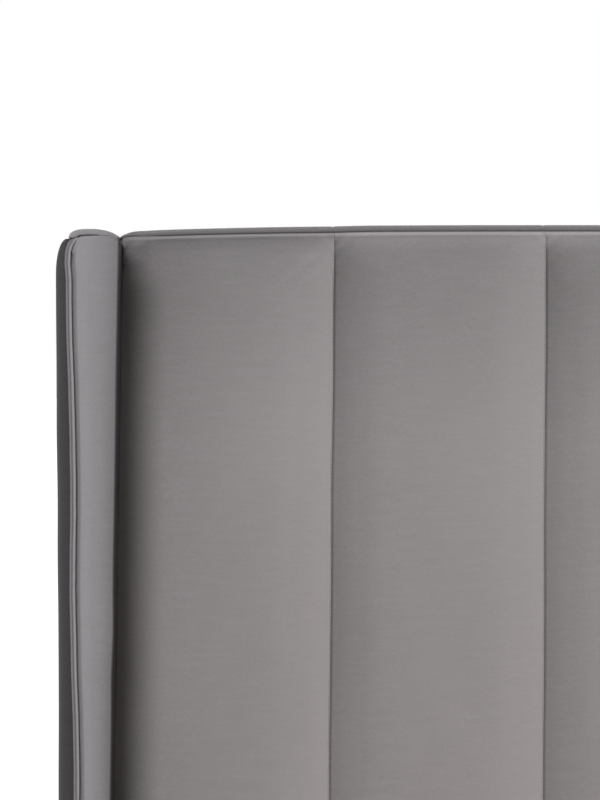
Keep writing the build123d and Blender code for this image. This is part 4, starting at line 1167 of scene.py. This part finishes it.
class BED_OT_wings(bpy.types.Operator):
    """Build the wings' bands, caps, side pads and welts"""
    bl_idname = "bed.wings"
    bl_label = "Wings"

    def execute(self, context):
        for word, side in SIDES:
            for build, name, node, finish in (
                    (band, "wing_band", "wing_edge_pad", f"band_{word}"),
                    (cap, "wing_cap", None, f"band_{word}"),
                    (inner_pad, "wing_inside", "wing_inner_pad", "wing_inner"),
                    (outer_pad, "wing_outside", "wing_outer_pad", "wing_side")):
                nodes = [f"{node}_{word}"] if node else ()
                tie(build(f"{name}_{word}", side), "base", nodes, finish)
            tie(welt(f"wing_welt_{word}", side), "base", [f"wing_piping_{word}"], f"welt_{word}")
        return {"FINISHED"}


class BED_OT_rails(bpy.types.Operator):
    """Build the velvet covers of the side rails and the foot rail"""
    bl_idname = "bed.rails"
    bl_label = "Rail covers"

    def execute(self, context):
        for word, side in SIDES:
            tie(side_cover(f"side_cover_{word}", side), "base", [f"side_rail_cover_{word}"], "rail")
        tie(foot_cover(), "base", ["foot_rail_cover"], "rail")
        return {"FINISHED"}


class BED_OT_back(bpy.types.Operator):
    """Build the dust cloth on the headboard's back and its staples"""
    bl_idname = "bed.back"
    bl_label = "Back cloth"

    def execute(self, context):
        cloth, width, height = back_cloth()
        tie(cloth, "base", ["head_back_cover"], "dust_cloth")
        tie(staples(), "base", (), "zinc")
        return {"FINISHED"}


class BED_OT_strap(bpy.types.Operator):
    """Build the pull strap at the platform's foot"""
    bl_idname = "bed.strap"
    bl_label = "Pull strap"

    def execute(self, context):
        tie(pull_strap(), "platform", ["pull_strap"], "webbing")
        tie(strap_stitches(), "platform", (), "thread")
        return {"FINISHED"}


class BED_OT_hoops(bpy.types.Operator):
    """Bend the two hoops that hold the mattress on the raised platform"""
    bl_idname = "bed.hoops"
    bl_label = "Mattress hoops"

    def execute(self, context):
        for word, _ in SIDES:
            node = f"mattress_hoop_{word}"
            tie(hoop(node), "platform", [node], "tube")
        return {"FINISHED"}


class BED_OT_stage(bpy.types.Operator):
    """Lay the floor and set the light and the camera"""
    bl_idname = "bed.stage"
    bl_label = "Stage"

    def execute(self, context):
        scene = context.scene
        scene.view_settings.view_transform = "Standard"
        lay_floor()
        light_world(scene)
        for lamp in LAMPS:
            add_sun(*lamp)
        aim_camera(scene)
        return {"FINISHED"}


def lay_floor():
    deselect()
    bpy.ops.mesh.primitive_circle_add(vertices=96, radius=30, fill_type="NGON", location=(0, 0, 0))
    floor = bpy.context.object
    floor.name = "floor"
    f = Finish("floor")
    diffuse = f.node("ShaderNodeBsdfDiffuse", {}, {"Color": (0.80, 0.80, 0.80), "Roughness": 0.5})
    seen = f.node("ShaderNodeLightPath", output="Is Camera Ray")
    glow = f.node("ShaderNodeEmission", {}, {"Color": (1.0, 1.0, 1.0), "Strength": seen * FLOOR_GLOW})
    f.feed(f.tree.nodes["Material Output"].inputs["Surface"],
           f.node("ShaderNodeAddShader", {}, {0: diffuse, 1: glow}))
    f.tree.nodes.remove(f.shader)
    floor.data.materials.append(f.material)


def light_world(scene):
    """A pale sky that lights softly, and shows white to the camera and in reflections."""
    scene.world = bpy.data.worlds.new("studio")
    scene.world.use_nodes = True
    sky = Nodes(scene.world.node_tree)
    camera, glossy, through = (sky.node("ShaderNodeLightPath", output=f"Is {ray} Ray")
                               for ray in ("Camera", "Glossy", "Transmission"))
    seen = sky.math("MAXIMUM", sky.math("MAXIMUM", camera, glossy), through)
    strength = sky.node("ShaderNodeMapRange", {}, {"Value": seen, "To Min": SKY_LIGHT, "To Max": 1.0})
    background = sky.tree.nodes["Background"].inputs
    sky.feed(background["Strength"], strength)
    sky.feed(background["Color"], (1.0, 1.0, 1.0))


def add_sun(name, place, strength, width, colour):
    """A soft, distant lamp at an azimuth from the front and an elevation."""
    azimuth, elevation = (math.radians(a) for a in place)
    data = bpy.data.lights.new(name, "SUN")
    data.energy = strength
    data.angle = math.radians(width)
    data.color = colour
    lamp = bpy.data.objects.new(name, data)
    bpy.context.scene.collection.objects.link(lamp)
    out = Vector((math.sin(azimuth) * math.cos(elevation), -math.cos(azimuth) * math.cos(elevation),
                  math.sin(elevation)))
    lamp.location = out * 8
    lamp.rotation_euler = out.to_track_quat("Z", "Y").to_euler()


def aim_camera(scene):
    """The photograph's view: straight on, near the height of the headboard's top, at its left corner."""
    pixels_high = 800
    metres_per_pixel = 0.0012977
    frame_height = pixels_high * metres_per_pixel
    distance, eye_height = 5.67, 1.19
    aim = Vector((-0.4552, PLY_FRONT - 0.034, 0.9929))
    eye = Vector((aim.x, aim.y - distance, eye_height))
    data = bpy.data.cameras.new("camera")
    data.sensor_width = 36
    data.lens = data.sensor_width * (aim - eye).length / frame_height
    data.clip_end = 200
    camera = bpy.data.objects.new("camera", data)
    scene.collection.objects.link(camera)
    camera.location = eye
    camera.rotation_euler = (aim - eye).to_track_quat("-Z", "Y").to_euler()
    scene.camera = camera


OPERATORS = (BED_OT_finishes, BED_OT_channels, BED_OT_border, BED_OT_wings, BED_OT_rails, BED_OT_back,
             BED_OT_strap, BED_OT_hoops, BED_OT_stage)


class BED_PT_looks(bpy.types.Panel):
    """The bed's pieces, one button each"""
    bl_label = "Bed looks"
    bl_space_type = "VIEW_3D"
    bl_region_type = "UI"
    bl_category = "Bed"

    def draw(self, context):
        for operator in OPERATORS:
            self.layout.operator(operator.bl_idname)
        for group in (context.scene.bed_shape, context.scene.bed_colours):
            for key in group.bl_rna.properties.keys():
                if key not in ("rna_type", "name"):
                    self.layout.prop(group, key)


CLASSES = (BedShape, BedColours, *OPERATORS, BED_PT_looks)


def register():
    for cls in CLASSES:
        bpy.utils.register_class(cls)
    bpy.types.Scene.bed_shape = bpy.props.PointerProperty(type=BedShape)
    bpy.types.Scene.bed_colours = bpy.props.PointerProperty(type=BedColours)


def unregister():
    del bpy.types.Scene.bed_shape
    del bpy.types.Scene.bed_colours
    for cls in reversed(CLASSES):
        bpy.utils.unregister_class(cls)


def main():
    register()
    bpy.ops.bed.finishes()
    bpy.ops.bed.channels()
    bpy.ops.bed.border()
    bpy.ops.bed.wings()
    bpy.ops.bed.rails()
    bpy.ops.bed.back()
    bpy.ops.bed.strap()
    bpy.ops.bed.hoops()
    bpy.ops.bed.stage()


if __name__ == "__main__":
    main()
